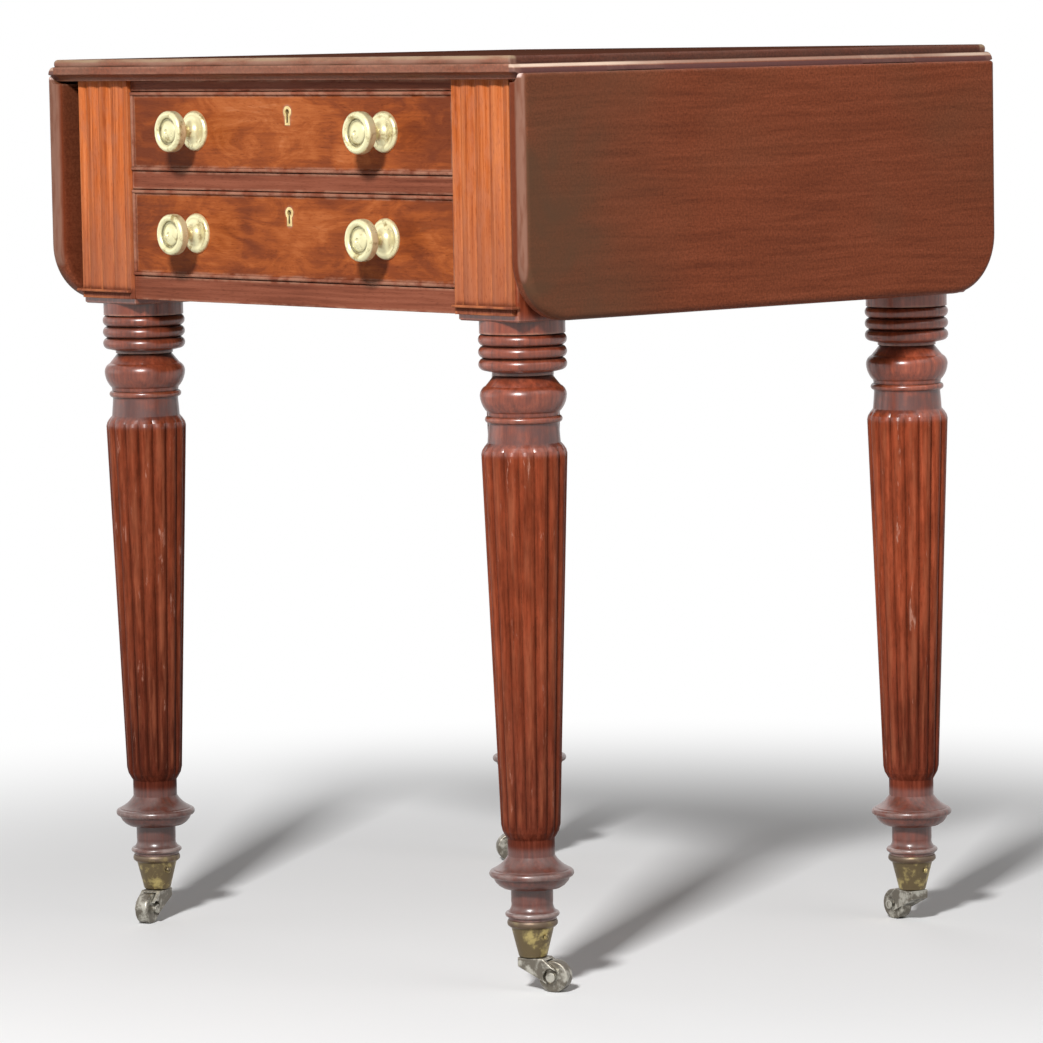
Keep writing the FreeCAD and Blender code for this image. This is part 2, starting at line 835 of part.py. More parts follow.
def bottom_board(drawer):
    half, _, _ = drawer_box(drawer)
    inside = half - side_thickness + groove
    z0 = drawer["base"] + slide_gap + bottom_rise
    start = front_y + front_thickness - groove
    return block(-inside, inside, start, drawer_end, z0, z0 + bottom_thickness)


def drawer_back(drawer):
    half, _, _ = drawer_box(drawer)
    inside = half - side_thickness
    z0 = drawer["base"] + slide_gap + bottom_rise + bottom_thickness
    end = drawer_end
    return block(-inside, inside, end - back_thickness, end, z0, drawer["top"] - 2 * side_top_gap)


def bead_strips(drawer):
    """Four cock beads round the drawer front, with half-round noses."""
    half, z0, z1 = drawer_box(drawer)
    nose = front_y - bead_proud
    back = front_y + bead_depth - bead_proud
    inside = half - bead_width
    low = z0 + bead_width
    high = z1 - bead_width
    strips = [
        (block(-half, half, nose, back, z0, low), Vector(1, 0, 0)),
        (block(-half, half, nose, back, high, z1), Vector(1, 0, 0)),
        (block(-half, -inside, nose, back, low, high), Vector(0, 0, 1)),
        (block(inside, half, nose, back, low, high), Vector(0, 0, 1)),
    ]
    return [rounded_nose(strip, nose, along) for strip, along in strips]


def rounded_nose(strip, nose, along):
    """Round the long front edges of a cock bead."""
    edges = []
    for edge in strip.Edges:
        on_front = edge.BoundBox.YMax < nose + touch
        if on_front and abs(edge.tangentAt(edge.FirstParameter).dot(along)) > 0.9:
            edges.append(edge)
    return strip.makeFillet(bead_nose, edges)


def drawer_front(drawer):
    half, z0, z1 = drawer_box(drawer)
    rear = front_y + front_thickness
    solid = block(-half, half, front_y, rear, z0, z1)
    back = front_y + bead_depth - bead_proud
    frame = block(-half, half, front_y, back, z0, z1)
    field = block(-half + bead_width, half - bead_width, front_y, back, z0 + bead_width, z1 - bead_width)
    side = drawer_side(drawer)
    holes = [rod(knob_screw_radius + fit, knob_screw_length + fit, p, Vector(0, 1, 0))
             for p in knob_places(drawer)]
    cuts = [frame.cut(field), side, mirror_x(side), bottom_board(drawer)]
    cuts += [lock_room(drawer), escutcheon_room(drawer), keyhole(drawer)]
    return solid.cut(cuts + holes)


def knob_places(drawer):
    """Centres of the two knobs on the drawer front."""
    z = (drawer["base"] + drawer["top"]) / 2 + knob_lift
    return [Vector(s * knob_place, front_y, z) for s in (-1, 1)]


def knob():
    """Turned brass knob with its rose and screw, drawn about Z with the drawer plane at 0."""
    face = knob_face / 2
    rose = knob_rose / 2
    stem = knob_stem / 2
    rim_back = knob_reach - knob_rim
    lip = knob_lip - knob_foot
    sunk = knob_reach - knob_roll
    groove_out = face - 2 * knob_roll
    points = [
        (knob_dimple, knob_reach - knob_pit, 0),
        (knob_dimple + knob_pit, knob_reach, knob_dome),
        (groove_out - knob_groove, sunk, 0),
        (groove_out, sunk, knob_roll),
        (face, sunk, 0),
        (face, rim_back + knob_back_ease, knob_back_ease * quarter_bow),
        (face - knob_back_ease, rim_back, -knob_hollow),
        (stem, rim_back - knob_flare, 0),
        (stem, knob_rise, -knob_hollow),
        (rose - lip, knob_lip, lip * quarter_bow),
        (rose, knob_foot, 0),
        (rose, 0, 0),
        (knob_screw_radius, 0, 0),
        (knob_screw_radius, -knob_screw_length, 0),
    ]
    return turned(points)


def knobs(drawer):
    shape = knob()
    axis = Vector(1, 0, 0)
    return Part.Compound([placed(shape, p, axis, 90) for p in knob_places(drawer)])


# Locks: a case let into the back of the drawer front, a bolt and a keyhole.
def lock_top(drawer):
    """Top of the lock case, flush with the drawer front's upper edge under the bead."""
    return drawer["top"] - drawer_gap - bead_width


def lock_block(drawer):
    rear = front_y + front_thickness
    z1 = lock_top(drawer)
    return block(-lock_width / 2, lock_width / 2, rear - lock_depth, rear, z1 - lock_height, z1)


def bolt_block(drawer, rise, play):
    """The bolt withdrawn into its case; rise lengthens it upwards."""
    rear = front_y + front_thickness
    middle = rear - lock_depth / 2
    z1 = lock_top(drawer)
    return block(-bolt_width / 2 - play, bolt_width / 2 + play,
                 middle - bolt_depth / 2 - play, middle + bolt_depth / 2 + play,
                 z1 - bolt_height - play, z1 + rise)


def bolt_room(opening_top):
    """Mortise in a rail above an opening for the bolt."""
    drawer = {"top": opening_top}
    rise = drawer_gap + bead_width + bolt_throw
    return bolt_block(drawer, rise, bolt_gap)


def lock_case(drawer):
    return lock_block(drawer).cut(bolt_block(drawer, bolt_gap, bolt_gap))


def lock_room(drawer):
    """Recess for the lock and the way of its bolt through the front's upper edge."""
    return lock_block(drawer).fuse(bolt_block(drawer, drawer_gap + bead_width, bolt_gap))


def key_centre(drawer, y):
    """Middle of the keyhole's round head."""
    return Vector(0, y, drawer["top"] - key_drop)


def escutcheon_block(drawer, y, depth, play):
    """Round above, straight-sided below, from a plane y backwards."""
    radius = escutcheon_width / 2 + play
    half = escutcheon_tail / 2 + play
    centre = key_centre(drawer, y)
    foot = centre.z + escutcheon_width / 2 - escutcheon_height - play
    head = rod(radius, depth, centre, Vector(0, 1, 0))
    tail = block(-half, half, y, y + depth, foot, centre.z)
    return joined([head, tail])


def escutcheon_room(drawer):
    return escutcheon_block(drawer, front_y, escutcheon_depth, fit)


def keyhole(drawer):
    """The key's way through the front to the lock."""
    centre = key_centre(drawer, front_y - escutcheon_proud)
    depth = front_thickness - lock_depth + escutcheon_proud
    head = rod(key_radius, depth, centre, Vector(0, 1, 0))
    foot = centre.z + escutcheon_width / 2 - escutcheon_height + key_slot
    slot = block(-key_slot / 2, key_slot / 2, centre.y, centre.y + depth, foot, centre.z)
    return joined([head, slot])


def escutcheon(drawer):
    depth = escutcheon_depth + escutcheon_proud
    plate = escutcheon_block(drawer, front_y - escutcheon_proud, depth, 0)
    return plate.cut(keyhole(drawer))


# Casters, drawn with the pivot at the origin and the wheel trailing along +X.
def caster_cup():
    foot = cup_foot_width / 2
    top = cup_top_width / 2
    rim = top + cup_rim_proud
    base = cup_z + cup_base
    brim = cup_z + cup_height
    outside = turned([
        (rim - cup_rim_ease, leg_foot_z, cup_rim_ease / 3),
        (rim, leg_foot_z - cup_rim / 2, cup_rim_ease / 3),
        (rim - cup_rim_ease, brim + cup_rim_ease, 0),
        (top + cup_neck, brim, -cup_neck * quarter_bow),
        (top, brim - cup_neck, 0),
        (foot, cup_z + cup_ease, cup_ease * quarter_bow),
        (foot - cup_ease, cup_z, 0),
    ])
    inside = turned([
        (top - cup_wall, leg_foot_z, 0),
        (foot - cup_wall, base, 0),
    ])
    hole = rod(pintle_radius + fit, cup_height, Vector(0, 0, cup_z), Vector(0, 0, 1))
    return outside.cut([inside, hole] + cup_screw_holes())


def cup_screw_height():
    return cup_z + cup_height - cup_screw_drop


def cup_screw():
    """Round-headed screw along -X with its head outside the cup's wall."""
    seat = Vector(cup_screw_seat(), 0, cup_screw_height())
    outward = Vector(1, 0, 0)
    shank = rod(cup_screw_radius, cup_screw_length, seat, -outward)
    ball = Part.makeSphere(cup_screw_head, seat + outward * (cup_screw_dome - cup_screw_head))
    keep = rod(cup_screw_head, cup_screw_head, seat, outward)
    return joined([shank, ball.common(keep)])


def cup_screw_seat():
    """Where a screw's head meets the tapering wall of the cup."""
    slope = (cup_top_width - cup_foot_width) / 2 / (cup_height - cup_neck - cup_ease)
    wall = cup_top_width / 2 - slope * (cup_screw_drop - cup_neck)
    return wall + slope * cup_screw_head


def cup_screw_holes():
    """Holes for the two screws of one cup, at its pivot."""
    reach = Vector(cup_top_width, 0, cup_screw_height())
    depth = cup_top_width - cup_screw_seat() + cup_screw_length + fit
    hole = rod(cup_screw_radius + fit, depth, reach, Vector(-1, 0, 0))
    return [placed(hole, Vector(0, 0, 0), Vector(0, 0, 1), a) for a in (0, 180)]


def leg_spots():
    """Name, X side and Y end of the four legs."""
    for end_name, end in (("front", -1), ("back", 1)):
        for side_name, side in (("left", -1), ("right", 1)):
            yield end_name + "_" + side_name, side, end


def at_leg(shape, side, end):
    return placed(shape, Vector(side * half_x, end * half_y, 0))


def cup_screw_rooms():
    """Cup screw holes at all four legs."""
    return [at_leg(h, side, end) for h in cup_screw_holes() for _, side, end in leg_spots()]


def tangent_point(centre, radius, point, turn):
    """Where a line from an outside point touches a circle, on the side that turn gives."""
    away = point - centre
    angle = math.atan2(away.y, away.x) + turn * math.acos(radius / away.Length)
    return centre + Vector(radius * math.cos(angle), radius * math.sin(angle), 0)


def caster_horn():
    """Fork with a bent neck, and the pintle riveted inside the cup."""
    top = cup_z - swivel_gap
    half = wheel_thickness / 2 + cheek_gap
    width = 2 * (half + cheek)
    heel = Vector(-horn_neck, top - horn_heel, 0)
    brow = Vector(horn_brow, top, 0)
    axle = Vector(trail, axle_z, 0)
    low = tangent_point(axle, horn_boss, heel, 1)
    high = tangent_point(axle, horn_boss, brow, -1)
    tip = axle + (axle * 2 - low - high).normalize() * horn_boss
    edges = [Part.makeLine(Vector(-horn_neck, top, 0), heel), Part.makeLine(heel, low)]
    edges.append(Part.Arc(low, tip, high).toShape())
    edges.append(Part.makeLine(high, brow))
    edges.append(Part.makeLine(brow, Vector(-horn_neck, top, 0)))
    shape = Part.Face(Part.Wire(edges))
    shape.rotate(Vector(0, 0, 0), Vector(1, 0, 0), 90)
    shape.translate(Vector(0, width / 2, 0))
    body = shape.extrude(Vector(0, -width, 0))
    rims = [e for e in body.Edges if e.BoundBox.YLength < touch]
    body = body.makeFillet(horn_ease, rims)
    slot = rod(axle_z + wheel_gap, 2 * half, Vector(trail, -half, axle_z), Vector(0, 1, 0))
    hole = rod(axle_radius + fit, width, Vector(trail, -width / 2, axle_z), Vector(0, 1, 0))
    rise = Vector(0, 0, 1)
    rivet = cup_base + 2 * swivel_gap
    pintle = rod(pintle_radius, rivet + pintle_head, Vector(0, 0, top), rise)
    head = rod(pintle_head_radius, pintle_head, Vector(0, 0, top + rivet), rise)
    return joined([body.cut([slot, hole]), pintle, head])


def caster_wheel():
    half = wheel_thickness / 2
    tyre = rod(axle_z, wheel_thickness, Vector(trail, -half, axle_z), Vector(0, 1, 0))
    rims = [e for e in tyre.Edges if e.BoundBox.YLength < touch]
    tyre = tyre.makeFillet(wheel_ease, rims)
    return tyre.cut(rod(axle_radius + fit, wheel_thickness, Vector(trail, -half, axle_z), Vector(0, 1, 0)))


def caster_axle():
    """Riveted pin with a low head outside each cheek."""
    half = wheel_thickness / 2 + cheek_gap + cheek
    along = Vector(0, 1, 0)
    pin = rod(axle_radius, 2 * (half + axle_head), Vector(trail, -half - axle_head, axle_z), along)
    heads = []
    for y in (-half - axle_head, half):
        heads.append(rod(axle_head_radius, axle_head, Vector(trail, y, axle_z), along))
    return joined([pin] + heads)


def build():
    save("top_board", top_board())
    for name, side, end in leg_spots():
        save("leg_" + name, leg(side, end))
    save("pilasters", pair(pilaster()))
    save("side_panels", pair(side_panel()))
    save("back_panel", back_panel())
    for name, rail in rails().items():
        save(name, rail)
    runners = [runner(lower_top, upper_base), runner(case_base, lower_base)]
    save("drawer_runners", Part.Compound(runners + [mirror_x(r) for r in runners]))
    save("kickers", pair(kicker()))

    blocks, arm, pin = fly_parts()
    save("fly_rails", Part.Compound(blocks + [mirror_x(b) for b in blocks]))
    save("fly_brackets", pair(arm))
    save("fly_pins", pair(pin))

    save("leaf_right", leaf())
    save("leaf_left", mirror_x(leaf()))
    save("hinge_frame_plates", Part.Compound(both_sides(hinge_frame_plate())))
    save("hinge_pins", Part.Compound(both_sides(hinge_pin())))
    plates = [placed(hinge_leaf_plate(), p) for p in hinge_places()]
    save("hinge_leaf_plates_right", Part.Compound(plates))
    save("hinge_leaf_plates_left", Part.Compound([mirror_x(p) for p in plates]))
    screw = wood_screw(hinge_screw_length)
    screws = [placed(screw, p + q, angle=90) for p in leaf_screw_places() for q in hinge_places()]
    save("hinge_leaf_screws_right", Part.Compound(screws))
    save("hinge_leaf_screws_left", Part.Compound([mirror_x(s) for s in screws]))
    frame_screws = [placed(wood_screw(top_screw_length), p) for p in top_screw_spots()]
    frame_screws += [placed(screw, p + q) for p in frame_screw_places() for q in hinge_places()]
    save("frame_screws", Part.Compound(frame_screws + [mirror_x(s) for s in frame_screws]))

    for name, drawer in drawers.items():
        save(name + "_drawer_front", drawer_front(drawer))
        save(name + "_drawer_beads", Part.Compound(bead_strips(drawer)))
        save(name + "_drawer_sides", pair(drawer_side(drawer)))
        save(name + "_drawer_back", drawer_back(drawer))
        save(name + "_drawer_bottom", bottom_board(drawer))
        save(name + "_knobs", knobs(drawer))
        save(name + "_escutcheon", escutcheon(drawer))
        save(name + "_lock", lock_case(drawer))
        save(name + "_lock_bolt", bolt_block(drawer, 0, 0))

    cup_screws = []
    for name, side, end in leg_spots():
        turn = caster_angles[name]
        save("caster_cup_" + name, at_leg(caster_cup(), side, end))
        pieces = {"horn": caster_horn(), "wheel": caster_wheel(), "axle": caster_axle()}
        for part_name, shape in pieces.items():
            turned_shape = placed(shape, Vector(0, 0, 0), Vector(0, 0, 1), turn)
            save("caster_" + part_name + "_" + name, at_leg(turned_shape, side, end))
        for angle in (0, 180):
            turned_screw = placed(cup_screw(), Vector(0, 0, 0), Vector(0, 0, 1), angle)
            cup_screws.append(at_leg(turned_screw, side, end))
    save("cup_screws", Part.Compound(cup_screws))


build()
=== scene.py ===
# %% [markdown]
# A drop-leaf work table: a mahogany top with a hanging leaf at each side, two drawers
# in its front end, turned and reeded legs, and brass casters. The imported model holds
# every piece in metres and in its right place. This lesson gives each piece its finish,
# cuts slots in the screws, and sets up light and camera.

# %% Load the frame
import json
import math

import bmesh
import bpy
from mathutils import Matrix, Vector


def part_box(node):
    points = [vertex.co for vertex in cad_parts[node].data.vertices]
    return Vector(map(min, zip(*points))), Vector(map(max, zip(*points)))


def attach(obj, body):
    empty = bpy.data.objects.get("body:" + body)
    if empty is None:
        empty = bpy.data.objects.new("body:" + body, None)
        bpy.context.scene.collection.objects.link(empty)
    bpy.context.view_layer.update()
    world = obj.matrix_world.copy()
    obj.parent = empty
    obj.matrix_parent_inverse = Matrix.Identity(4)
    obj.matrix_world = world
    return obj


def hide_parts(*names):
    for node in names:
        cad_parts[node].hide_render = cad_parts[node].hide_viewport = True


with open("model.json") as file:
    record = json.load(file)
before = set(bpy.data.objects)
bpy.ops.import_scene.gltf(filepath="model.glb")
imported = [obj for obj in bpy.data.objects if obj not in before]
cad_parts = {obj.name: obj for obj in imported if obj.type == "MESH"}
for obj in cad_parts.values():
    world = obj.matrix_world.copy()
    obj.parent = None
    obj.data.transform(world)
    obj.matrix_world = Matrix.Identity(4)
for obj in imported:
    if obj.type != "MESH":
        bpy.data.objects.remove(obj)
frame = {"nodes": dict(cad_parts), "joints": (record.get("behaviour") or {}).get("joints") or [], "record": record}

nodes = frame["nodes"]
slot_of = {part["node"]: part["material_slot"] for part in frame["record"]["subparts"]}
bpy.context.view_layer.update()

# %% [markdown]
# A finish is a tree of shader nodes. It could be drawn by hand in the shader editor, but a
# script can change it by one number and make it again. Each helper adds a node and returns
# the socket that carries its result, so that a finish reads like a recipe. A socket knows
# the tree it belongs to, so most helpers need not be told.

# %% Nodes and numbers
def feed(node, inputs):
    """Fill a node's inputs. Each is a constant, or the socket that feeds it."""
    for key, value in inputs.items():
        if isinstance(value, bpy.types.NodeSocket):
            node.id_data.links.new(value, node.inputs[key])
        else:
            node.inputs[key].default_value = value
    return node


def put(tree, kind, inputs=None, **settings):
    """Add a shader node with its settings and inputs."""
    node = tree.nodes.new("ShaderNode" + kind)
    for name, value in settings.items():
        setattr(node, name, value)
    return feed(node, inputs or {})


def after(kind, inputs, **settings):
    """Add a node to the tree of the sockets that feed it, and return its outputs."""
    sockets = [value for value in inputs.values() if isinstance(value, bpy.types.NodeSocket)]
    return put(sockets[0].id_data, kind, inputs, **settings).outputs


def maths(operation, first, second=0.0, clamp=False):
    """One sum on two values."""
    return after("Math", {0: first, 1: second}, operation=operation, use_clamp=clamp)[0]


def product(*values):
    """Several masks multiplied together."""
    result = values[0]
    for value in values[1:]:
        result = maths("MULTIPLY", result, value)
    return result


def between(value, low, high, new_low=0.0, new_high=1.0):
    """Stretch a value smoothly from one range to another, held at both ends."""
    sizes = {"Value": value, "From Min": low, "From Max": high, "To Min": new_low, "To Max": new_high}
    return after("MapRange", sizes, interpolation_type="SMOOTHSTEP")["Result"]


print("number helpers ready")

# %% [markdown]
# Aging, like the light and shade painted here, is mostly one colour laid over another where
# a mask allows it: dust on a ledge, bare wood along an edge. So the next helpers blend colours,
# read where a point lies and which way it faces, and make the noise that keeps every mask uneven.

# %% Colours, places and noise
MIX_COLOURS = (6, 7)  # where a Mix node takes its two colours


def blended(factor, first, second, how="MIX"):
    """Mix two colours; a plain colour is three numbers."""
    sockets = {0: factor}
    for place, colour in zip(MIX_COLOURS, (first, second)):
        sockets[place] = colour if isinstance(colour, bpy.types.NodeSocket) else (*colour, 1.0)
    return after("Mix", sockets, data_type="RGBA", blend_type=how)[2]


def tinted(colour, tint, *masks):
    """Lay a tint over a colour, as far as all the masks allow."""
    return blended(product(*masks), colour, tint)


def grey(level):
    """A value as a grey colour."""
    return after("CombineColor", {0: level, 1: level, 2: level})[0]


def dimmed(colour, level):
    """A colour multiplied by a value."""
    return blended(1.0, colour, grey(level), "MULTIPLY")


def ramp(value, stops):
    """Colours along a value, from (place, colour) stops."""
    node = put(value.id_data, "ValToRGB", {"Fac": value})
    elements = node.color_ramp.elements
    while len(elements) < len(stops):
        elements.new(0.5)
    for element, (place, colour) in zip(elements, stops):
        element.position = place
        element.color = (*colour, 1.0)
    return node.outputs["Color"]


def own_place(tree):
    """Where a point lies on its piece, in metres."""
    return put(tree, "TexCoord").outputs["Object"]


def axes_of(vector):
    """The X, Y and Z of a vector."""
    return after("SeparateXYZ", {0: vector})


def upwards(tree):
    """How far the surface faces up, from -1 to 1."""
    return axes_of(put(tree, "NewGeometry").outputs["Normal"])[2]


def scaled(vector, by):
    """A vector stretched along X, Y and Z."""
    return after("VectorMath", {0: vector, 1: by}, operation="MULTIPLY")[0]


def noise(vector, scale, detail=2.0, roughness=0.5, distortion=0.0):
    """Soft random values from 0 to 1. Three scales stretch them along X, Y and Z."""
    if isinstance(scale, tuple):
        vector = scaled(vector, scale)
        scale = 1.0
    sizes = {"Vector": vector, "Scale": scale, "Detail": detail, "Roughness": roughness,
             "Distortion": distortion}
    return after("TexNoise", sizes)["Fac"]


print("colour helpers ready")

# %% [markdown]
# Several finishes share the same effects: wood grain, worn edges with a painted highlight,
# dirt with painted shade in corners, the uneven shine of old polish, and settled dust. They
# could be copied into every material, but a node group with named inputs and outputs is built
# once and then placed in each material with its own values.

# %% Node groups
def make_group(name, inputs, build):
    """A group with some inputs and their defaults, which build turns into its outputs."""
    tree = bpy.data.node_groups.new(name, "ShaderNodeTree")
    for label, value in inputs.items():
        kind = "NodeSocketVector" if value is None else "NodeSocketFloat"
        socket = tree.interface.new_socket(label, in_out="INPUT", socket_type=kind)
        if value is not None:
            socket.default_value = value
    results = build(tree, tree.nodes.new("NodeGroupInput").outputs)
    for label, result in results.items():
        kind = "NodeSocketVector" if result.type == "VECTOR" else "NodeSocketFloat"
        tree.interface.new_socket(label, in_out="OUTPUT", socket_type=kind)
    feed(tree.nodes.new("NodeGroupOutput"), results)
    print("group", name, "of", len(tree.nodes), "nodes")
    return tree


def use(tree, group, inputs=None):
    """Place a group in a material and return its outputs. Its defaults suit wood."""
    node = tree.nodes.new("ShaderNodeGroup")
    node.node_tree = group
    return feed(node, inputs or {}).outputs


print("group helpers ready")

# %% [markdown]
# A board shows its growth rings as long streaks, its vessels as short dark dashes, and
# slow changes of tone as clouds. A picture of wood would show seams on turned legs, so the
# grain is noise, which fills space: squeezed across the grain, stretched along it, and
# bent by a slow drift.

# %% Wood grain
def board_grain(tree, given):
    """Streaks, pores and clouds of a board whose grain runs along Z."""
    slow = scaled(given["Along"], (9.0, 9.0, 3.5))
    drift = after("TexNoise", {"Vector": slow, "Scale": 1.0, "Detail": 2.0})["Color"]
    centred = after("VectorMath", {0: drift, 1: (0.5, 0.5, 0.5)}, operation="SUBTRACT")[0]
    shift = after("VectorMath", {0: centred, "Scale": given["Wander"]}, operation="SCALE")[0]
    bent = after("VectorMath", {0: given["Along"], 1: shift}, operation="ADD")[0]
    x, y, z = axes_of(bent)
    x = maths("DIVIDE", x, given["Streak Width"])
    y = maths("DIVIDE", y, given["Streak Width"])
    z = maths("DIVIDE", z, given["Streak Length"])
    fibres = after("CombineXYZ", {0: x, 1: y, 2: z})[0]
    dashes = noise(bent, (1500.0, 1500.0, 170.0), detail=1.0)
    return {"Streaks": noise(fibres, 1.0, detail=4.0, roughness=0.62),
            "Pores": between(dashes, 0.58, 0.74),
            "Clouds": noise(slow, 1.0, detail=3.0, roughness=0.6, distortion=0.6)}


grain_inputs = {"Along": None, "Streak Width": 0.004, "Streak Length": 0.15, "Wander": 0.006}
wood_grain = make_group("wood_grain", grain_inputs, board_grain)

# %% [markdown]
# Hands, dusters and feet rub the outer edges first, and polished round edges catch the
# light, so the pale edges laid here are wear and a painted highlight together. They could be
# painted one by one, but ambient occlusion that is measured inside the solid is dark only
# along outer edges, so it finds them on any shape. A Bevel node also softens the model's
# sharp corners.

# %% Worn edges with a painted highlight
def rubbed_and_lit_edges(tree, given):
    """A mask of the outer edges, for wear and a painted highlight, and normals that are softened along them."""
    soft = after("Bevel", {"Radius": given["Round"]}, samples=6)[0]
    inner = after("AmbientOcclusion", {"Distance": given["Reach"]}, samples=8, inside=True,
                  only_local=True)
    # Outer edges: pale wear and a painted highlight.
    edge = between(inner["AO"], 0.92, 0.62)
    patches = noise(own_place(tree), given["Patches"], detail=3.0, roughness=0.65)
    return {"Worn": product(edge, between(patches, 0.34, 0.62)), "Normal": soft}


edge_inputs = {"Round": 0.0010, "Reach": 0.003, "Patches": 60.0}
worn_and_lit_edges = make_group("worn_and_lit_edges", edge_inputs, rubbed_and_lit_edges)

# %% [markdown]
# Old wax and dirt stay where no cloth reaches: in grooves, under beads and beside
# mouldings, and shade falls in the same places. Ordinary ambient occlusion finds these places,
# so the darkening there is dirt and painted shade together, and noise keeps it from lying too evenly.

# %% Dirt and painted shade in corners
def hollow_dirt_and_shade(tree, given):
    """A mask of grooves and corners, darkened by old wax and by painted shade."""
    hollow = after("AmbientOcclusion", {"Distance": given["Reach"]}, samples=8, only_local=True)
    # Where shade falls in hollows: this darkening is dirt and painted shade together.
    deep = between(hollow["AO"], 0.92, 0.45)
    uneven = noise(own_place(tree), 90.0, detail=3.0, roughness=0.6)
    return {"Dirt": product(deep, between(uneven, 0.2, 0.6, 0.45, 1.0))}


corner_dirt_and_shade = make_group("corner_dirt_and_shade", {"Reach": 0.008}, hollow_dirt_and_shade)

# %% [markdown]
# A hand-rubbed finish is never quite even, and one number for its roughness would look like
# plastic. Smears change how sharp its reflections are, and faint ripples bend them.

# %% Old polish
def rubbed_polish(tree, given):
    """Uneven shine and faint ripples of a hand-rubbed finish."""
    place = own_place(tree)
    return {"Smears": noise(place, given["Size"], detail=5.0, roughness=0.7),
            "Ripples": noise(place, 45.0)}


old_polish = make_group("old_polish", {"Size": 14.0}, rubbed_polish)

# %% [markdown]
# Dust settles on whatever faces upwards near the floor: collars, rings and casters. It
# could be scattered as tiny grains, but at this size it is only a pale film. So a mask
# asks which way the surface faces and how high it is.

# %% Settled dust
def low_dust(tree, given):
    """A mask of dust on upward faces below a height."""
    place = own_place(tree)
    facing = between(upwards(tree), -0.35, 0.55, 0.12, 1.0)
    above = maths("SUBTRACT", axes_of(place)[2], given["Height"])
    low = between(maths("DIVIDE", above, given["Fade"]), 1.0, 0.0)
    grains = noise(place, 150.0, detail=4.0, roughness=0.65)
    return {"Dust": product(facing, low, between(grains, 0.32, 0.62, 0.35, 1.0))}


settled_dust = make_group("settled_dust", {"Height": 0.10, "Fade": 0.04}, low_dust)

# %% [markdown]
# Wood and metal end in the same Principled shader, and both need an uneven shine and a fine
# relief. The relief is only shading: pores and scratches are too small to be modelled.

# %% Start a material
def new_material(name):
    """A material with an empty Principled shader; also its tree and shader."""
    material = bpy.data.materials.new(name)
    material.use_nodes = True
    tree = material.node_tree
    return material, tree, tree.nodes["Principled BSDF"]


def uneven_polish(smears, polish, cover, dulling):
    """Roughness that varies from low to high; whatever covers the surface dulls it further."""
    return maths("ADD", between(smears, 0.25, 0.75, *polish), product(cover, dulling), clamp=True)


def relief(height, strength, distance, normal):
    """A fine bump over normals that are softened along the edges."""
    sizes = {"Height": height, "Strength": strength, "Distance": distance, "Normal": normal}
    return after("Bump", sizes)[0]


print("material helpers ready")

# %% [markdown]
# Every wooden piece is made in the same order: grain gives a tone, a ramp turns the tone
# into colours, pores darken it, dirt and painted shade darken its hollows, and wear and a
# painted highlight lighten its edges. A Mapping node turns each piece's coordinates until its
# grain lies along Z. A piece may add its own figure to the wood, and a film of dust or
# bleaching over the finish, which in places also paints light and shade.

# %% Make a wooden finish
WAX_DIRT_AND_SHADE = (0.016, 0.008, 0.005)
PORE_TINT = (0.42, 0.32, 0.30)
PALE_WEAR_AND_HIGHLIGHT = (0.46, 0.24, 0.16)
PORE_SHARE = 0.45
WEAR_AND_HIGHLIGHT_SHARE = 0.6
WAX_IOR = 1.8
WAX_ROUGHNESS = 0.29


def wood(name, turn, streak, stops, polish, worn_and_lit=PALE_WEAR_AND_HIGHLIGHT, figure=None, film=None, dirt_and_shade=0.75,
         cloud=0.5, gloss=0.04, wax=0.0, dull=None, grime_and_shade=WAX_DIRT_AND_SHADE):
    """A polished wood. figure changes the bare wood's colour, and film the finished one, in places
    with painted light and shade. wax is a second shine over the first, and dull a mask of where it has rubbed off."""
    material, tree, skin = new_material(name)
    place = own_place(tree)
    along = after("Mapping", {"Vector": place, "Rotation": turn})[0]
    width, length, wander = streak
    sizes = {"Along": along, "Streak Width": width, "Streak Length": length, "Wander": wander}
    grain = use(tree, wood_grain, sizes)
    shine = use(tree, old_polish)
    edges = use(tree, worn_and_lit_edges)
    corners = use(tree, corner_dirt_and_shade)
    clouds = product(maths("SUBTRACT", grain["Clouds"], 0.5), cloud)
    tone = maths("ADD", grain["Streaks"], clouds)
    colour = ramp(tone, stops)
    if figure:
        colour = figure(place, colour, tone)
    dark = blended(1.0, colour, PORE_TINT, "MULTIPLY")
    colour = tinted(colour, dark, grain["Pores"], PORE_SHARE)
    # Dirt and painted shade darken the hollows.
    colour = tinted(colour, grime_and_shade, corners["Dirt"], dirt_and_shade)
    # Wear and a painted highlight lighten the edges.
    colour = tinted(colour, worn_and_lit, edges["Worn"], WEAR_AND_HIGHLIGHT_SHARE)
    if film:
        colour = film(place, colour)
    if dull:
        wax = between(dull(place), 0.0, 1.0, wax, 0.0)
    pitted = maths("SUBTRACT", product(shine["Ripples"], 0.6), grain["Pores"])
    feed(skin, {"Base Color": colour,
                "Roughness": uneven_polish(shine["Smears"], polish, corners["Dirt"], 0.25),
                "Specular IOR Level": gloss, "Coat Weight": wax, "Coat IOR": WAX_IOR,
                "Coat Roughness": WAX_ROUGHNESS,
                "Normal": relief(pitted, 0.12, 0.0006, edges["Normal"])})
    return material


print("wax", WAX_IOR, WAX_ROUGHNESS)

# %% [markdown]
# The plain pieces come first: dark rails and beads round the drawers, thinly polished
# panels at the sides and back, and the bare beech of the runners. Three tones, from the
# dark streaks to the light ones, are enough for each wood.

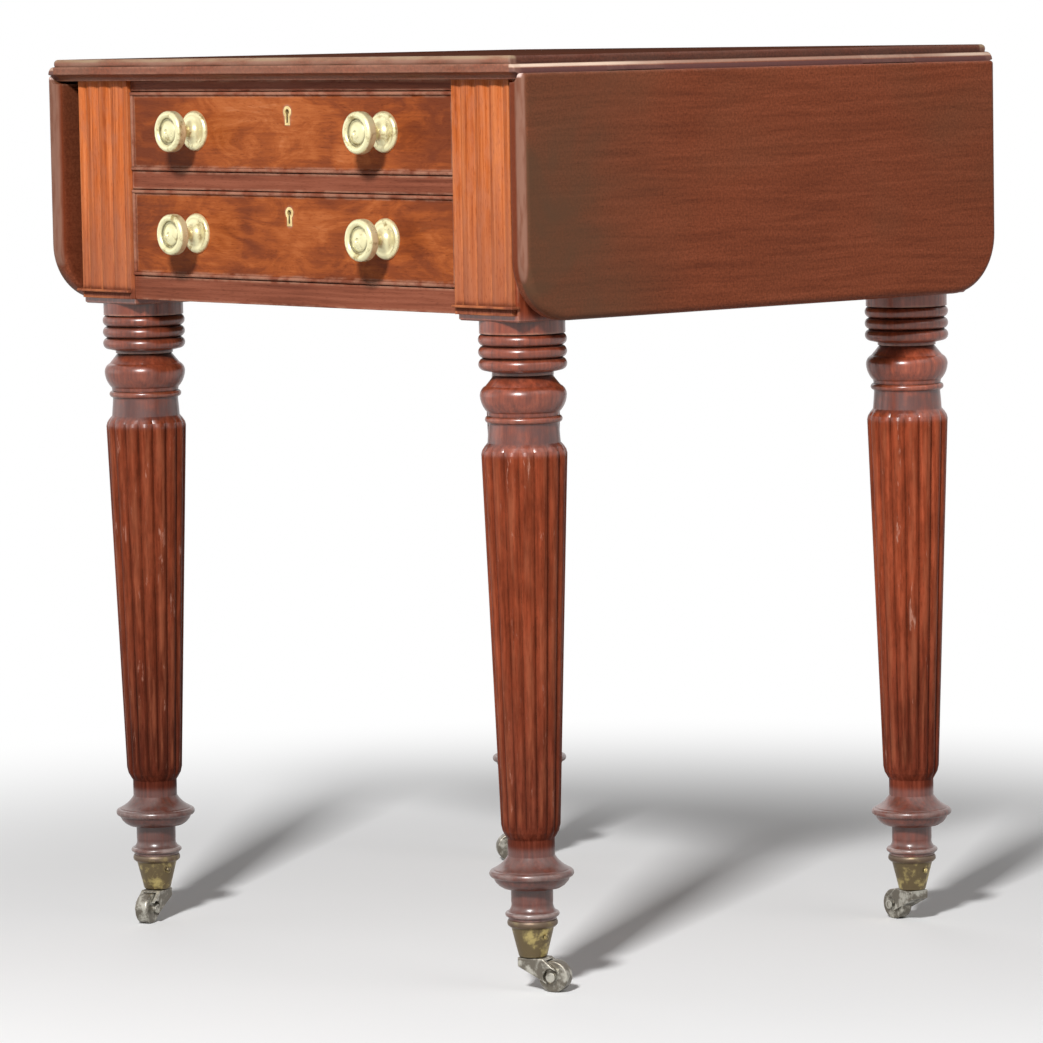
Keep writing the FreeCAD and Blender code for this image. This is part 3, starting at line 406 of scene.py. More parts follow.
# %% Rails, panels and beech
GRAIN_UP = (0.0, 0.0, 0.0)
GRAIN_ALONG_Y = (math.radians(90), 0.0, 0.0)
GRAIN_ALONG_X = (0.0, math.radians(-90), 0.0)
THIN_POLISH = (0.35, 0.55)
BARE_WOOD = (0.55, 0.75)
PANEL_STREAK = (0.004, 0.14, 0.01)


def tones(dark, middle, light, places=(0.25, 0.50, 0.78)):
    """The stops of a wood's ramp."""
    return list(zip(places, (dark, middle, light)))


rail_tones = tones((0.14, 0.038, 0.020), (0.235, 0.069, 0.037), (0.31, 0.102, 0.058))
panel_tones = tones((0.10, 0.034, 0.017), (0.19, 0.066, 0.034), (0.28, 0.105, 0.055))
beech_tones = tones((0.22, 0.12, 0.058), (0.36, 0.21, 0.105), (0.48, 0.30, 0.165))
finishes = {
    "mahogany_rail": wood("mahogany_rail", GRAIN_ALONG_X, (0.003, 0.12, 0.006), rail_tones,
                          (0.26, 0.42)),
    "mahogany_bead": wood("mahogany_bead", GRAIN_ALONG_X, (0.002, 0.10, 0.004), rail_tones,
                          (0.24, 0.38)),
    "mahogany_panel": wood("mahogany_panel", GRAIN_ALONG_Y, PANEL_STREAK, panel_tones, THIN_POLISH),
    "beech": wood("beech", GRAIN_ALONG_Y, (0.003, 0.10, 0.004), beech_tones, BARE_WOOD,
                  worn_and_lit=(0.5, 0.33, 0.2)),
}
back_wood = wood("back_mahogany", GRAIN_ALONG_X, PANEL_STREAK, panel_tones, THIN_POLISH)
print("woods", sorted(finishes), back_wood.name)

# %% [markdown]
# The top and its leaves come from the same broad boards, and their polish has gone grey in
# slow patches. On a leaf, painted shade darkens the inner face and the ends, and a painted
# olive reflection lies on the outer face towards the front. The ends also carry dust with a
# painted highlight: on the outer half in the right leaf, all over in the left, with a painted
# glint at the top corner. This follows from where a point lies in the board, so masks on its
# coordinates place it.

# %% Leaves
DULL_POLISH = (0.130, 0.060, 0.030)
PAINTED_SHADE_INSIDE = (0.075, 0.014, 0.005)
PAINTED_OLIVE_REFLECTION = (0.110, 0.056, 0.031)
PAINTED_SHADE_ON_ENDS = (0.140, 0.028, 0.009)
DUST_AND_HIGHLIGHT_ON_ENDS = (0.26, 0.128, 0.088)
PAINTED_GLINT_ON_CORNER = (0.70, 0.50, 0.44)
OUTER_HALF = (0.0080, 0.0110)
LEFT_DUST_AND_HIGHLIGHT = 0.0075
BOARD_POLISH = (0.30, 0.48)
board_tones = tones((0.155, 0.039, 0.018), (0.212, 0.054, 0.024), (0.260, 0.069, 0.032),
                    (0.25, 0.50, 0.75))
leaf_low, leaf_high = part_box("leaf_right")


def greyed(place, colour):
    """Slow dull patches in old polish, and fine specks."""
    slow = noise(place, 5.5, detail=3.0, roughness=0.55, distortion=0.4)
    colour = tinted(colour, DULL_POLISH, between(slow, 0.40, 0.68), 0.42)
    specks = noise(place, 520.0, roughness=0.6)
    return dimmed(colour, between(specks, 0.30, 0.70, 0.80, 1.22))


def ends_of(y, low, high, start, full):
    """A mask of a board's two ends, from none at start to all at full, measured from the end."""
    front = between(y, low.y + start, low.y + full)
    rear = between(y, high.y - start, high.y - full)
    return maths("MAXIMUM", front, rear)


def aged_and_lit_leaf(place, colour):
    """Painted shade inside and on the ends, a painted olive reflection in front, and dust with a painted highlight
    and glint on the ends.
    """
    colour = greyed(place, colour)
    x, y, z = axes_of(place)
    depth = maths("SUBTRACT", maths("ABSOLUTE", x), leaf_low.x)
    outer = between(depth, *OUTER_HALF)
    # Painted shade on the inner face.
    colour = tinted(colour, PAINTED_SHADE_INSIDE, between(depth, 0.0012, 0.0004), 0.45)
    forward = between(y, leaf_low.y + 0.20, leaf_low.y + 0.02)
    shade = noise(place, 8.0, detail=3.0, roughness=0.6, distortion=0.5)
    shaded = between(shade, 0.30, 0.60, 0.45, 0.95)
    # A painted olive reflection on the outer face, towards the front.
    colour = tinted(colour, PAINTED_OLIVE_REFLECTION, forward, shaded, outer)
    ends = ends_of(y, leaf_low, leaf_high, 0.0042, 0.0022)
    # Painted shade on the ends.
    colour = tinted(colour, PAINTED_SHADE_ON_ENDS, ends, 0.8)
    fibres = noise(place, (300.0, 300.0, 45.0), detail=4.0)
    dusty_and_lit = between(fibres, 0.28, 0.6, 0.45, 0.95)
    wider = between(x, -0.1, 0.1, LEFT_DUST_AND_HIGHLIGHT, 0.0)
    dust_and_highlight_edge = between(maths("ADD", depth, wider), *OUTER_HALF)
    # Dust with a painted highlight on the ends.
    colour = tinted(colour, DUST_AND_HIGHLIGHT_ON_ENDS, ends, dust_and_highlight_edge, dusty_and_lit)
    # A painted glint at the top outer corner of the ends.
    corner = product(between(z, leaf_high.z - 0.004, leaf_high.z - 0.002),
                     between(depth, 0.0165, 0.0145))
    return tinted(colour, PAINTED_GLINT_ON_CORNER, ends, outer, corner)


finishes["mahogany_top"] = wood("mahogany_leaf", GRAIN_ALONG_Y, (0.004, 0.10, 0.02), board_tones,
                                BOARD_POLISH, film=aged_and_lit_leaf, cloud=0.4, gloss=0.06)
print("leaves", [round(c, 4) for c in (*leaf_low, *leaf_high)])

# %% [markdown]
# The upper face of the fixed top has lost its gloss to sun and wet cups, and painted shade
# darkens it to the dull dark brown it shows when seen from low down. It could be painted
# flat, but then it would look like leather: multiplying the wood's own colour keeps the grain.

# %% Painted shade on the upper face
FACE_SHADE_FACTOR = (0.52, 0.62, 0.80)
BLOTCH = (0.095, 0.050, 0.036)


def upper_face(place):
    """A mask of what faces straight up."""
    return between(upwards(place.id_data), 0.80, 0.97)


def painted_dark_face(place, colour):
    """The upper face darkened with painted shade, with blotches."""
    # Painted shade darkens the upper face.
    painted_darker = blended(1.0, colour, FACE_SHADE_FACTOR, "MULTIPLY")
    spread = noise(place, 22.0, detail=4.0, roughness=0.6)
    return tinted(painted_darker, BLOTCH, between(spread, 0.32, 0.66, 0.0, 0.45))


top_low, top_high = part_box("top_board")
print("upper face at height", round(top_high.z, 4))

# %% [markdown]
# Along the rule joint, where the leaf folds under the top, the crest of the round edge is
# painted pale, a painted highlight with some rubbed wear, most of all at the front, and
# painted shade lies below the crest. The flat fillet beside it takes the painted shade of the
# upper face. The record holds the hinge's axis, which is the centre of that round edge, so
# the masks measure from there.

# %% Painted highlight and shade on the rule joint
RULE_RADIUS = 0.007
PAINTED_SHADE_UNDER_CREST = (0.105, 0.046, 0.046)
PAINTED_CREST_HIGHLIGHT = (0.80, 0.60, 0.46)
axis_x, _, axis_z = next(joint["pos_m"] for joint in frame["joints"]
                         if joint["name"] == "right_leaf_swing")


def rule_joint_light_and_shade(place, colour, shaded_face_colour):
    """A painted highlight on the crest of the rule joint, and painted shade below it and on the fillet beside it.
    """
    x, y, z = axes_of(place)
    away = maths("ABSOLUTE", x)
    rise = maths("SUBTRACT", z, axis_z)
    outside = between(away, axis_x - 0.0003, axis_x + 0.0006)
    # Painted shade below the crest.
    under = between(rise, RULE_RADIUS * 0.55, RULE_RADIUS * 0.42)
    colour = tinted(colour, PAINTED_SHADE_UNDER_CREST, outside, under, 0.8)
    crest = product(between(rise, RULE_RADIUS * 0.48, RULE_RADIUS * 0.68),
                    between(rise, RULE_RADIUS * 0.97, RULE_RADIUS * 0.86))
    rubs_and_glints = noise(place, (60.0, 9.0, 60.0), detail=3.0)
    uneven = between(rubs_and_glints, 0.25, 0.6, 0.35, 1.0)
    at_front = between(y, top_low.y + 0.20, top_low.y + 0.07, 0.28, 1.0)
    at_rear = between(y, top_high.y - 0.09, top_high.y - 0.03, 0.28, 0.8)
    most = maths("MAXIMUM", at_front, at_rear)
    # A painted highlight with some wear on the crest, most at the front and the rear.
    colour = tinted(colour, PAINTED_CREST_HIGHLIGHT, outside, crest, uneven, most)
    # The fillet takes the painted shade of the upper face.
    fillet = product(between(away, axis_x - 0.002, axis_x - 0.001),
                     between(rise, RULE_RADIUS * 0.97, RULE_RADIUS * 1.05))
    return tinted(colour, shaded_face_colour, fillet, 0.85)


print("rule joint about", axis_x, axis_z)

# %% [markdown]
# The moulded ends of the top hold dust with a painted highlight, more of it above their quirk
# and most on the brim. The finished top lays the painted shade of the upper face, the painted
# light and shade of the joint and these ends over the greyed polish. It has its own material,
# because the leaves, which share its slot, wear otherwise.

# %% Fixed top
END_MOULDING = 0.009
BAND_TOP = 0.0118
MOULDING_DUST_AND_HIGHLIGHT = (0.34, 0.185, 0.130)
BRIM_DUST_AND_HIGHLIGHT = (0.36, 0.255, 0.155)


def top_wear_light_and_shade(place, colour):
    """Painted shade on the upper face, painted light and shade on the rule joint, and dust with a painted
    highlight on the ends, over the greyed polish.
    """
    colour = greyed(place, colour)
    shaded_face_colour = painted_dark_face(place, colour)
    # The upper face takes the painted shade.
    colour = tinted(colour, shaded_face_colour, upper_face(place))
    colour = rule_joint_light_and_shade(place, colour, shaded_face_colour)
    x, y, z = axes_of(place)
    ends = ends_of(y, top_low, top_high, END_MOULDING, END_MOULDING * 0.6)
    film = noise(place, (25.0, 120.0, 120.0), detail=4.0)
    dusty_and_lit = between(film, 0.3, 0.65, 0.25, 0.8)
    quirk = top_low.z + BAND_TOP
    upper = between(z, quirk - 0.001, quirk + 0.001, 0.36, 0.9)
    # Dust with a painted highlight on the moulded ends.
    colour = tinted(colour, MOULDING_DUST_AND_HIGHLIGHT, ends, dusty_and_lit, upper)
    # Dust and a painted highlight on the brim.
    brim = between(z, top_high.z - 0.0035, top_high.z - 0.0015)
    return tinted(colour, BRIM_DUST_AND_HIGHLIGHT, ends, dusty_and_lit, brim)


top_wood = wood("mahogany_top", GRAIN_ALONG_Y, (0.004, 0.12, 0.02), board_tones, BOARD_POLISH,
                film=top_wear_light_and_shade, cloud=0.4, gloss=0.0, wax=0.2, dull=upper_face)
print("top", top_wood.name)

# %% [markdown]
# The drawer fronts are faced with veneer from a forked trunk. Its figure looks like
# flames: soft orange smears in the middle, and quieter, redder wood towards the ends.
# Waves would look too regular, so noise that is bent by other noise gives the smears. Each
# front starts at its own place in the noise, so that the two differ.

# %% Flame veneer on the drawer fronts
FLAME_LEAN = math.radians(18)
flame_stops = [(0.10, (0.165, 0.038, 0.014)), (0.32, (0.235, 0.054, 0.016)),
               (0.54, (0.345, 0.084, 0.021)), (0.74, (0.445, 0.126, 0.037)),
               (0.95, (0.56, 0.220, 0.102))]


def flames(drawer, seed, fall, glow):
    """The figure of one drawer front. It fades by fall towards its ends and gains glow inside."""
    low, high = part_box(drawer + "_drawer_front")
    half = (high.x - low.x) / 2
    middle_z = (low.z + high.z) / 2

    def figure(place, colour, tone):
        centred = after("Mapping", {"Vector": place, "Location": (seed, 0.0, -middle_z)})[0]
        leaning = after("Mapping", {"Vector": centred, "Rotation": (0.0, FLAME_LEAN, 0.0),
                                    "Scale": (17.0, 1.0, 48.0)})[0]
        smears = noise(leaning, 1.0, detail=6.0, roughness=0.66, distortion=1.6)
        wisps = product(between(smears, 0.36, 0.64), 0.29)
        blots = noise(centred, (11.0, 1.0, 20.0), distortion=0.8)
        patches = product(between(blots, 0.32, 0.68), 0.28)
        across = axes_of(place)[0]
        away = between(maths("ABSOLUTE", across), half * 0.3, half, 0.0, fall)
        off_glow = maths("ABSOLUTE", maths("SUBTRACT", across, half * 0.15))
        bright = between(off_glow, half * 0.55, 0.0, 0.0, glow)
        heat = maths("SUBTRACT", maths("ADD", wisps, patches), away)
        heat = maths("ADD", heat, bright)
        fine = product(maths("SUBTRACT", tone, 0.20), 0.5)
        return ramp(maths("ADD", heat, fine), flame_stops)
    return figure


def front_veneer(drawer, seed, fall, glow):
    """The veneer of one drawer front."""
    return wood(drawer + "_flame_veneer", GRAIN_ALONG_X, (0.0025, 0.05, 0.01), rail_tones,
                (0.24, 0.40), figure=flames(drawer, seed, fall, glow), dirt_and_shade=0.6)


veneers = {"upper": front_veneer("upper", seed=0.37, fall=0.21, glow=0.09),
           "lower": front_veneer("lower", seed=1.93, fall=0.05, glow=0.03)}
print("veneers", [veneer.name for veneer in veneers.values()])

# %% [markdown]
# The sun has bleached the reeded pilasters beside the drawers to orange, with paler
# patches, less so towards the foot, and the right one less than the left. Their straight
# grain makes stripes up them. The ledge and the plinth below have stayed as dark as the
# rails, so they take the rails' tones.

# %% Pilasters
LEDGE_TOP = 0.0074
RIGHT_LEVEL = 0.87
FADED_PATCH = (0.46, 0.150, 0.072)
BROWN_FOOT = (0.34, 0.115, 0.062)
pilaster_tones = tones((0.33, 0.070, 0.017), (0.55, 0.136, 0.034), (0.70, 0.220, 0.078),
                       (0.34, 0.50, 0.66))
plinth_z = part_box("pilasters")[0].z


def bleached(place, colour, tone):
    """Reeds with faded patches, browner towards their foot, over a rail-coloured ledge."""
    x, y, height = axes_of(place)
    colour = dimmed(colour, between(x, -0.1, 0.1, 1.0, RIGHT_LEVEL))
    spots = noise(place, (95.0, 95.0, 38.0), detail=4.0, roughness=0.65)
    colour = tinted(colour, FADED_PATCH, between(spots, 0.42, 0.66), 0.6)
    lower = between(height, plinth_z + 0.13, plinth_z + 0.01, 0.0, 0.62)
    colour = tinted(colour, BROWN_FOOT, lower)
    ledge_z = plinth_z + LEDGE_TOP
    reeds = between(height, ledge_z - 0.0008, ledge_z + 0.004)
    return blended(reeds, ramp(tone, rail_tones), colour)


# The pilasters' grooves are darkened with dirt and painted shade.
finishes["mahogany_pilaster"] = wood(
    "mahogany_pilaster", GRAIN_UP, (0.0026, 0.14, 0.004), pilaster_tones, (0.28, 0.44), figure=bleached,
    worn_and_lit=(0.56, 0.185, 0.070), grime_and_shade=(0.105, 0.026, 0.010), dirt_and_shade=0.85, cloud=0.25)
print("pilasters from height", round(plinth_z, 4))

# %% [markdown]
# The legs were turned on a lathe from separate billets of deep red-brown wood. Painted light
# makes the back legs lighter and painted shade makes the left ones darker, and all are darker
# towards the floor. They share one material. Folding the coordinates about the middle of the
# table brings all four axes to one place, which tells how far a point is from its own leg's axis.

# %% Painted light and shade on the legs
LEG_HALF_SPAN = (0.239, 0.2135)
LOW_DARKENING = (0.57, 0.58, 0.70)
BACK_LIGHT_LEVEL = 1.28
LEFT_SHADE_LEVEL = 0.78
leg_tones = tones((0.108, 0.020, 0.008), (0.215, 0.041, 0.016), (0.335, 0.077, 0.034))
case_middle_y = (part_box("leg_front_left")[0].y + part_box("leg_back_left")[1].y) / 2


def from_leg_axis(place):
    """Distance from the axis of the nearest leg, and the height."""
    x, y, z = axes_of(place)
    across = maths("SUBTRACT", maths("ABSOLUTE", x), LEG_HALF_SPAN[0])
    along = maths("ABSOLUTE", maths("SUBTRACT", y, case_middle_y))
    along = maths("SUBTRACT", along, LEG_HALF_SPAN[1])
    flat = after("CombineXYZ", {0: across, 1: along})[0]
    return after("VectorMath", {0: flat}, operation="LENGTH")["Value"], z


def leg_light_and_mottle(place, colour, tone):
    """Painted light on the back legs, painted shade on the left ones, a random mottle, and a darkening towards the
    floor.
    """
    x, y, z = axes_of(place)
    # Painted light on the back legs and painted shade on the left ones.
    painted_lighter = between(y, case_middle_y - 0.1, case_middle_y + 0.1, 1.0, BACK_LIGHT_LEVEL)
    painted_darker = between(x, -0.1, 0.1, LEFT_SHADE_LEVEL, 1.0)
    spots = noise(place, (110.0, 110.0, 42.0), detail=4.0, roughness=0.65)
    mottled = between(spots, 0.32, 0.68, 0.80, 1.20)
    colour = dimmed(colour, product(painted_lighter, painted_darker, mottled))
    # Darker towards the floor.
    return blended(between(z, 0.32, 0.13), colour, LOW_DARKENING, "MULTIPLY")


print("legs about y", round(case_middle_y, 4))

# %% [markdown]
# The shafts were reeded by hand. The crests of the reeds are painted paler than the grooves,
# wear and a painted highlight together, with pale scuffs that are scuffs and painted glints,
# while the smooth members keep their wax. The crest's radius grows evenly up the shaft, so a
# point that is that far from the axis is on a crest.

# %% Reeds
REED_TOP = (0.4220, 0.0335)
REED_FOOT = (0.1315, 0.0233)
FOOT_TOP = 0.115
REEDS_DULL = 0.90
REED_WEAR_AND_HIGHLIGHT = (0.36, 0.105, 0.050)
SCUFF_AND_GLINT = (0.50, 0.250, 0.180)


def below_neck(height):
    """A mask of what is below the top of the reeds."""
    return between(height, REED_TOP[0] + 0.004, REED_TOP[0] - 0.004)


def dull_reeds(place):
    """The reeds and the drum below them have less shine than the smooth turned members."""
    height = axes_of(place)[2]
    above_foot = between(height, FOOT_TOP - 0.006, FOOT_TOP + 0.002)
    return product(above_foot, below_neck(height), REEDS_DULL)


def reed_wear_and_highlights(place, colour):
    """Pale wear with a painted highlight on the crests of the reeds, and scuffs with painted glints."""
    distance, height = from_leg_axis(place)
    sizes = {"Value": height, "From Min": REED_FOOT[0], "From Max": REED_TOP[0],
             "To Min": REED_FOOT[1], "To Max": REED_TOP[1]}
    crest = after("MapRange", sizes)["Result"]
    near = between(maths("SUBTRACT", distance, crest), -0.0011, -0.0001)
    above_drum = between(height, REED_FOOT[0] - 0.002, REED_FOOT[0] + 0.01)
    crests = product(near, above_drum, below_neck(height))
    rubs_and_glints = noise(place, (160.0, 160.0, 14.0), detail=4.0, roughness=0.65)
    # Wear and a painted highlight on the crests.
    colour = tinted(colour, REED_WEAR_AND_HIGHLIGHT, crests, between(rubs_and_glints, 0.42, 0.68), 0.5)
    # Scuffs and painted glints on the crests.
    knocks = noise(place, (130.0, 130.0, 26.0), detail=5.0, roughness=0.7)
    return tinted(colour, SCUFF_AND_GLINT, crests, between(knocks, 0.60, 0.70), 0.75)


print("reeds from height", REED_FOOT[0], "to", REED_TOP[0])

# %% [markdown]
# A dark film of old wax with painted shade lies on the smooth neck above the reeds. The foot
# is dusty, and its rims are pale grey with wear and a painted highlight. The finished legs
# have the strongest wax, because their turned members show the brightest highlights.

# %% Legs
NECK = (0.4285, 0.4465)
NECK_FILM_AND_SHADE = (0.060, 0.027, 0.025)
FOOT_DUST = (0.135, 0.090, 0.080)
FOOT_RIM = (0.42, 0.37, 0.35)


def leg_film(place, colour):
    """Reeds with wear and a painted highlight, the film with painted shade on the neck, and the dust and pale rims
    of the foot.
    """
    colour = reed_wear_and_highlights(place, colour)
    height = axes_of(place)[2]
    on_neck = product(between(height, NECK[0] - 0.003, NECK[0] + 0.003),
                      between(height, NECK[1] + 0.001, NECK[1] - 0.001))
    smudges = noise(place, 55.0, detail=4.0, roughness=0.6)
    smudged = between(smudges, 0.30, 0.62, 0.25, 0.85)
    # A film of old wax with painted shade on the neck.
    colour = tinted(colour, NECK_FILM_AND_SHADE, on_neck, smudged, 0.9)
    dust = use(place.id_data, settled_dust, {"Height": 0.090, "Fade": 0.035})["Dust"]
    colour = tinted(colour, FOOT_DUST, dust, 0.6)
    # Pale rims on the foot: wear and a painted highlight.
    rims = use(place.id_data, worn_and_lit_edges, {"Reach": 0.004})["Worn"]
    low = between(height, FOOT_TOP, FOOT_TOP - 0.01, 0.0, 0.65)
    return tinted(colour, FOOT_RIM, rims, low)


finishes["mahogany_leg"] = wood(
    "mahogany_leg", GRAIN_UP, (0.003, 0.10, 0.008), leg_tones, (0.36, 0.48), figure=leg_light_and_mottle,
    film=leg_film, worn_and_lit=(0.46, 0.20, 0.12), dirt_and_shade=0.85, gloss=0.03, wax=0.75, dull=dull_reeds)
print("legs", finishes["mahogany_leg"].name)

# %% [markdown]
# Inside, the drawers are lined with plain oak. At the front corners the sides are joined
# by lapped dovetails: oak tails let in between pins of the front's mahogany. They could be
# cut as solids, but they lie flush, so a mask paints them. Up the side a triangle wave
# measures how far the next pin is, and a pin is wider towards the inside.

# %% Oak linings and dovetails
LAP = 0.011
PIN_PITCH = 0.0205
PIN_TIP = 0.0013
PIN_SLOPE = 0.17
PINS_BELOW = 8
PIN_WOOD = (0.135, 0.045, 0.024)
SCRIBED_WIDTH = 0.00022
SCRIBED_LINE = (0.05, 0.028, 0.014)
oak_tones = tones((0.20, 0.12, 0.06), (0.37, 0.235, 0.125), (0.50, 0.34, 0.19))


def dovetails(drawer):
    """Pins and scribed lines at the front end of a drawer's sides."""
    low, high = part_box(drawer + "_drawer_sides")
    first_pin = (low.z + high.z) / 2 - PIN_PITCH * PINS_BELOW

    def figure(place, colour, tone):
        x, y, z = axes_of(place)
        inside = maths("SUBTRACT", y, low.y)
        to_pin = maths("PINGPONG", maths("SUBTRACT", z, first_pin), PIN_PITCH / 2)
        reach = maths("ADD", product(inside, PIN_SLOPE), PIN_TIP)
        edge = maths("SUBTRACT", to_pin, reach)
        in_lap = maths("LESS_THAN", inside, LAP)
        pins = maths("LESS_THAN", edge, 0.0)
        colour = tinted(colour, PIN_WOOD, pins, in_lap)
        on_edge = maths("LESS_THAN", maths("ABSOLUTE", edge), SCRIBED_WIDTH)
        shoulder = maths("ABSOLUTE", maths("SUBTRACT", inside, LAP))
        on_shoulder = maths("LESS_THAN", shoulder, SCRIBED_WIDTH)
        lines = maths("MAXIMUM", product(on_edge, in_lap), on_shoulder)
        return tinted(colour, SCRIBED_LINE, lines, 0.8)
    return figure


def oak(name, turn, figure=None):
    """Bare oak with its grain turned along a piece."""
    return wood(name, turn, (0.003, 0.12, 0.005), oak_tones, BARE_WOOD, (0.5, 0.36, 0.22), figure)


finishes["oak_lining"] = oak("oak_lining", GRAIN_ALONG_X)
drawer_sides = {drawer: oak(drawer + "_drawer_oak", GRAIN_ALONG_Y, dovetails(drawer))
                for drawer in ("upper", "lower")}
print("linings", finishes["oak_lining"].name, [side.name for side in drawer_sides.values()])

# %% [markdown]
# Metals reflect their surroundings, so their colour comes mostly from what stands around
# them. Handled brass stays bright, while dirt and painted shade darken its grooves; the
# casters at floor level have gone brown, with bright metal and a painted highlight only on
# rubbed edges, and dust on top. Dirt with its painted shade, and dust, are no metal, so they
# lower the Metallic value as well as the shine.

# %% Make a metal finish
BLACK_DIRT_AND_SHADE = (0.035, 0.024, 0.012)
DUST = (0.20, 0.165, 0.135)


def metal(name, clean, tarnish, amount, polish, dirt_and_shade=0.8, dust=0.0, speckle=110.0, bare=1.0,
          film=None):
    """A metal with patches of tarnish, deposits and painted shade in corners, rubbed edges with a
    painted highlight, and dust. bare is how metallic it looks, and film a last coat of colour before the dust."""
    material, tree, skin = new_material(name)
    place = own_place(tree)
    edges = use(tree, worn_and_lit_edges, {"Round": 0.0006, "Reach": 0.0012, "Patches": 160.0})
    corners = use(tree, corner_dirt_and_shade, {"Reach": 0.004})
    shine = use(tree, old_polish, {"Size": 70.0})
    patches = noise(place, speckle, detail=4.0, roughness=0.65)
    dull = between(patches, 0.62 - amount * 0.5, 0.80 - amount * 0.5)
    colour = blended(dull, clean, tarnish)
    # Clean metal on the outer edges, which is wear and a painted highlight.
    colour = tinted(colour, clean, edges["Worn"])
    # Dirt and painted shade in the hollows.
    cover = product(corners["Dirt"], dirt_and_shade)
    colour = tinted(colour, BLACK_DIRT_AND_SHADE, cover)
    if film:
        colour = film(place, colour)
    if dust:
        settled = use(tree, settled_dust, {"Height": 0.05, "Fade": 0.02})["Dust"]
        settled = product(settled, dust)
        colour = tinted(colour, DUST, settled)
        cover = maths("MAXIMUM", cover, settled)
    scratches = noise(place, (900.0, 120.0, 700.0))
    feed(skin, {"Base Color": colour, "Metallic": between(cover, 0.0, 1.0, bare, bare * 0.35),
                "Roughness": uneven_polish(shine["Smears"], polish, cover, 0.4),
                "Normal": relief(scratches, 0.08, 0.0003, edges["Normal"])})
    return material


print("dirt_and_shade", BLACK_DIRT_AND_SHADE, "dust", DUST)

# %% [markdown]
# The knobs are bright brass, the keyhole plates duller, the casters' cups tarnished with a
# brown rim, and the horns and wheels worn bronze. Locks, bolts, hinges and screws are
# seldom seen and plain. A table keeps the recipes side by side: clean colour, tarnish, its
# amount, and the range of roughness.

# %% Brass, bronze, steel and iron
RIM_HEIGHT = 0.0055
BROWN_RIM = (0.135, 0.088, 0.060)
rim_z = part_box("caster_cup_front_right")[1].z - RIM_HEIGHT


def brown_rim(place, colour):
    """The rim of a caster's cup has gone brown."""
    rim = between(axes_of(place)[2], rim_z - 0.001, rim_z + 0.001)
    spots = noise(place, 120.0, detail=3.0, roughness=0.6)
    return tinted(colour, BROWN_RIM, rim, between(spots, 0.30, 0.60, 0.55, 0.95))


recipes = {
    "brass_polished": ((0.80, 0.74, 0.44), (0.38, 0.285, 0.110), 0.20, (0.24, 0.38)),
    "brass_aged": ((0.54, 0.43, 0.17), (0.16, 0.118, 0.060), 0.56, (0.30, 0.48)),
    "bronze_worn": ((0.54, 0.52, 0.45), (0.165, 0.147, 0.117), 0.52, (0.24, 0.44)),
    "key_brass": ((0.80, 0.62, 0.29), (0.56, 0.40, 0.16), 0.4, (0.30, 0.45)),
    "lock_brass": ((0.62, 0.49, 0.25), (0.36, 0.27, 0.13), 0.45, (0.30, 0.45)),
    "bolt_steel": ((0.52, 0.51, 0.49), (0.28, 0.25, 0.22), 0.40, (0.28, 0.45)),
    "iron": ((0.20, 0.18, 0.16), (0.09, 0.070, 0.055), 0.70, (0.45, 0.65)),
    "screw_steel": ((0.36, 0.34, 0.32), (0.17, 0.14, 0.12), 0.55, (0.35, 0.55)),
}
extras = {
    "brass_polished": {"dirt_and_shade": 0.85, "bare": 0.5},
    "brass_aged": {"dust": 0.4, "speckle": 70.0, "bare": 0.8, "film": brown_rim},
    "bronze_worn": {"dust": 0.3, "bare": 0.75},
    "key_brass": {"bare": 0.5},
}
for name, recipe in recipes.items():
    finishes[name] = metal(name, *recipe, **extras.get(name, {}))
print("finishes", sorted(finishes))

# %% [markdown]
# Each node now takes the finish that its material slot names. A few pieces have a finish
# of their own: the fixed top, the back with its level grain, the veneered fronts, the
# dovetailed drawer sides and the small keyhole plates.

# %% Give every node its finish
own_finish = {"top_board": top_wood, "back_panel": back_wood}
for drawer in ("upper", "lower"):
    own_finish[drawer + "_drawer_front"] = veneers[drawer]
    own_finish[drawer + "_drawer_sides"] = drawer_sides[drawer]
    own_finish[drawer + "_escutcheon"] = finishes["key_brass"]
for name, piece in nodes.items():
    piece.data.materials.clear()
    piece.data.materials.append(own_finish.get(name) or finishes[slot_of[name]])
print("finished", len(nodes), "nodes")

# %% [markdown]
# Every screw on the real table has a slot, left at whatever angle it stopped. The packed
# screws have plain heads, so new ones stand in for them. A node of screws is one mesh, so
# it is first split into its bodies, whose boxes say where each screw is and how long.

# %% Find the screws
MERGE = 0.000001


def boxes_in(name):
    """The lowest and highest corner of each separate body in a node."""
    shape = bmesh.new()
    shape.from_mesh(nodes[name].data)
    bmesh.ops.remove_doubles(shape, verts=shape.verts, dist=MERGE)
    seen = set()
    boxes = []
    for start in shape.verts:
        if start in seen:
            continue
        seen.add(start)
        body = [start]
        for vert in body:
            fresh = {edge.other_vert(vert) for edge in vert.link_edges} - seen
            seen |= fresh
            body.extend(fresh)
        low = Vector([min(vert.co[axis] for vert in body) for axis in range(3)])
        high = Vector([max(vert.co[axis] for vert in body) for axis in range(3)])
        boxes.append((low, high))
    shape.free()
    return boxes


screw_boxes = {name: boxes_in(name) for name in nodes if "screws" in name}
print("screws", {name: len(boxes) for name, boxes in screw_boxes.items()})

# %% [markdown]
# The hinges have flat-headed screws, which taper to the shank and lie flush, and the caster
# cups have round-headed ones, whose heads are caps of a ball. A screw is round, so only
# its outline is drawn: pairs of a radius and a distance from the crown.

# %% Outlines of the screws
SLOT_WIDTH = 0.0009
SLOT_DEPTH = 0.0009
HEAD_TAPER = 0.002
DOME_RISE = 0.0014
DOME_STEPS = 5
CUP_SHANK = 0.0015


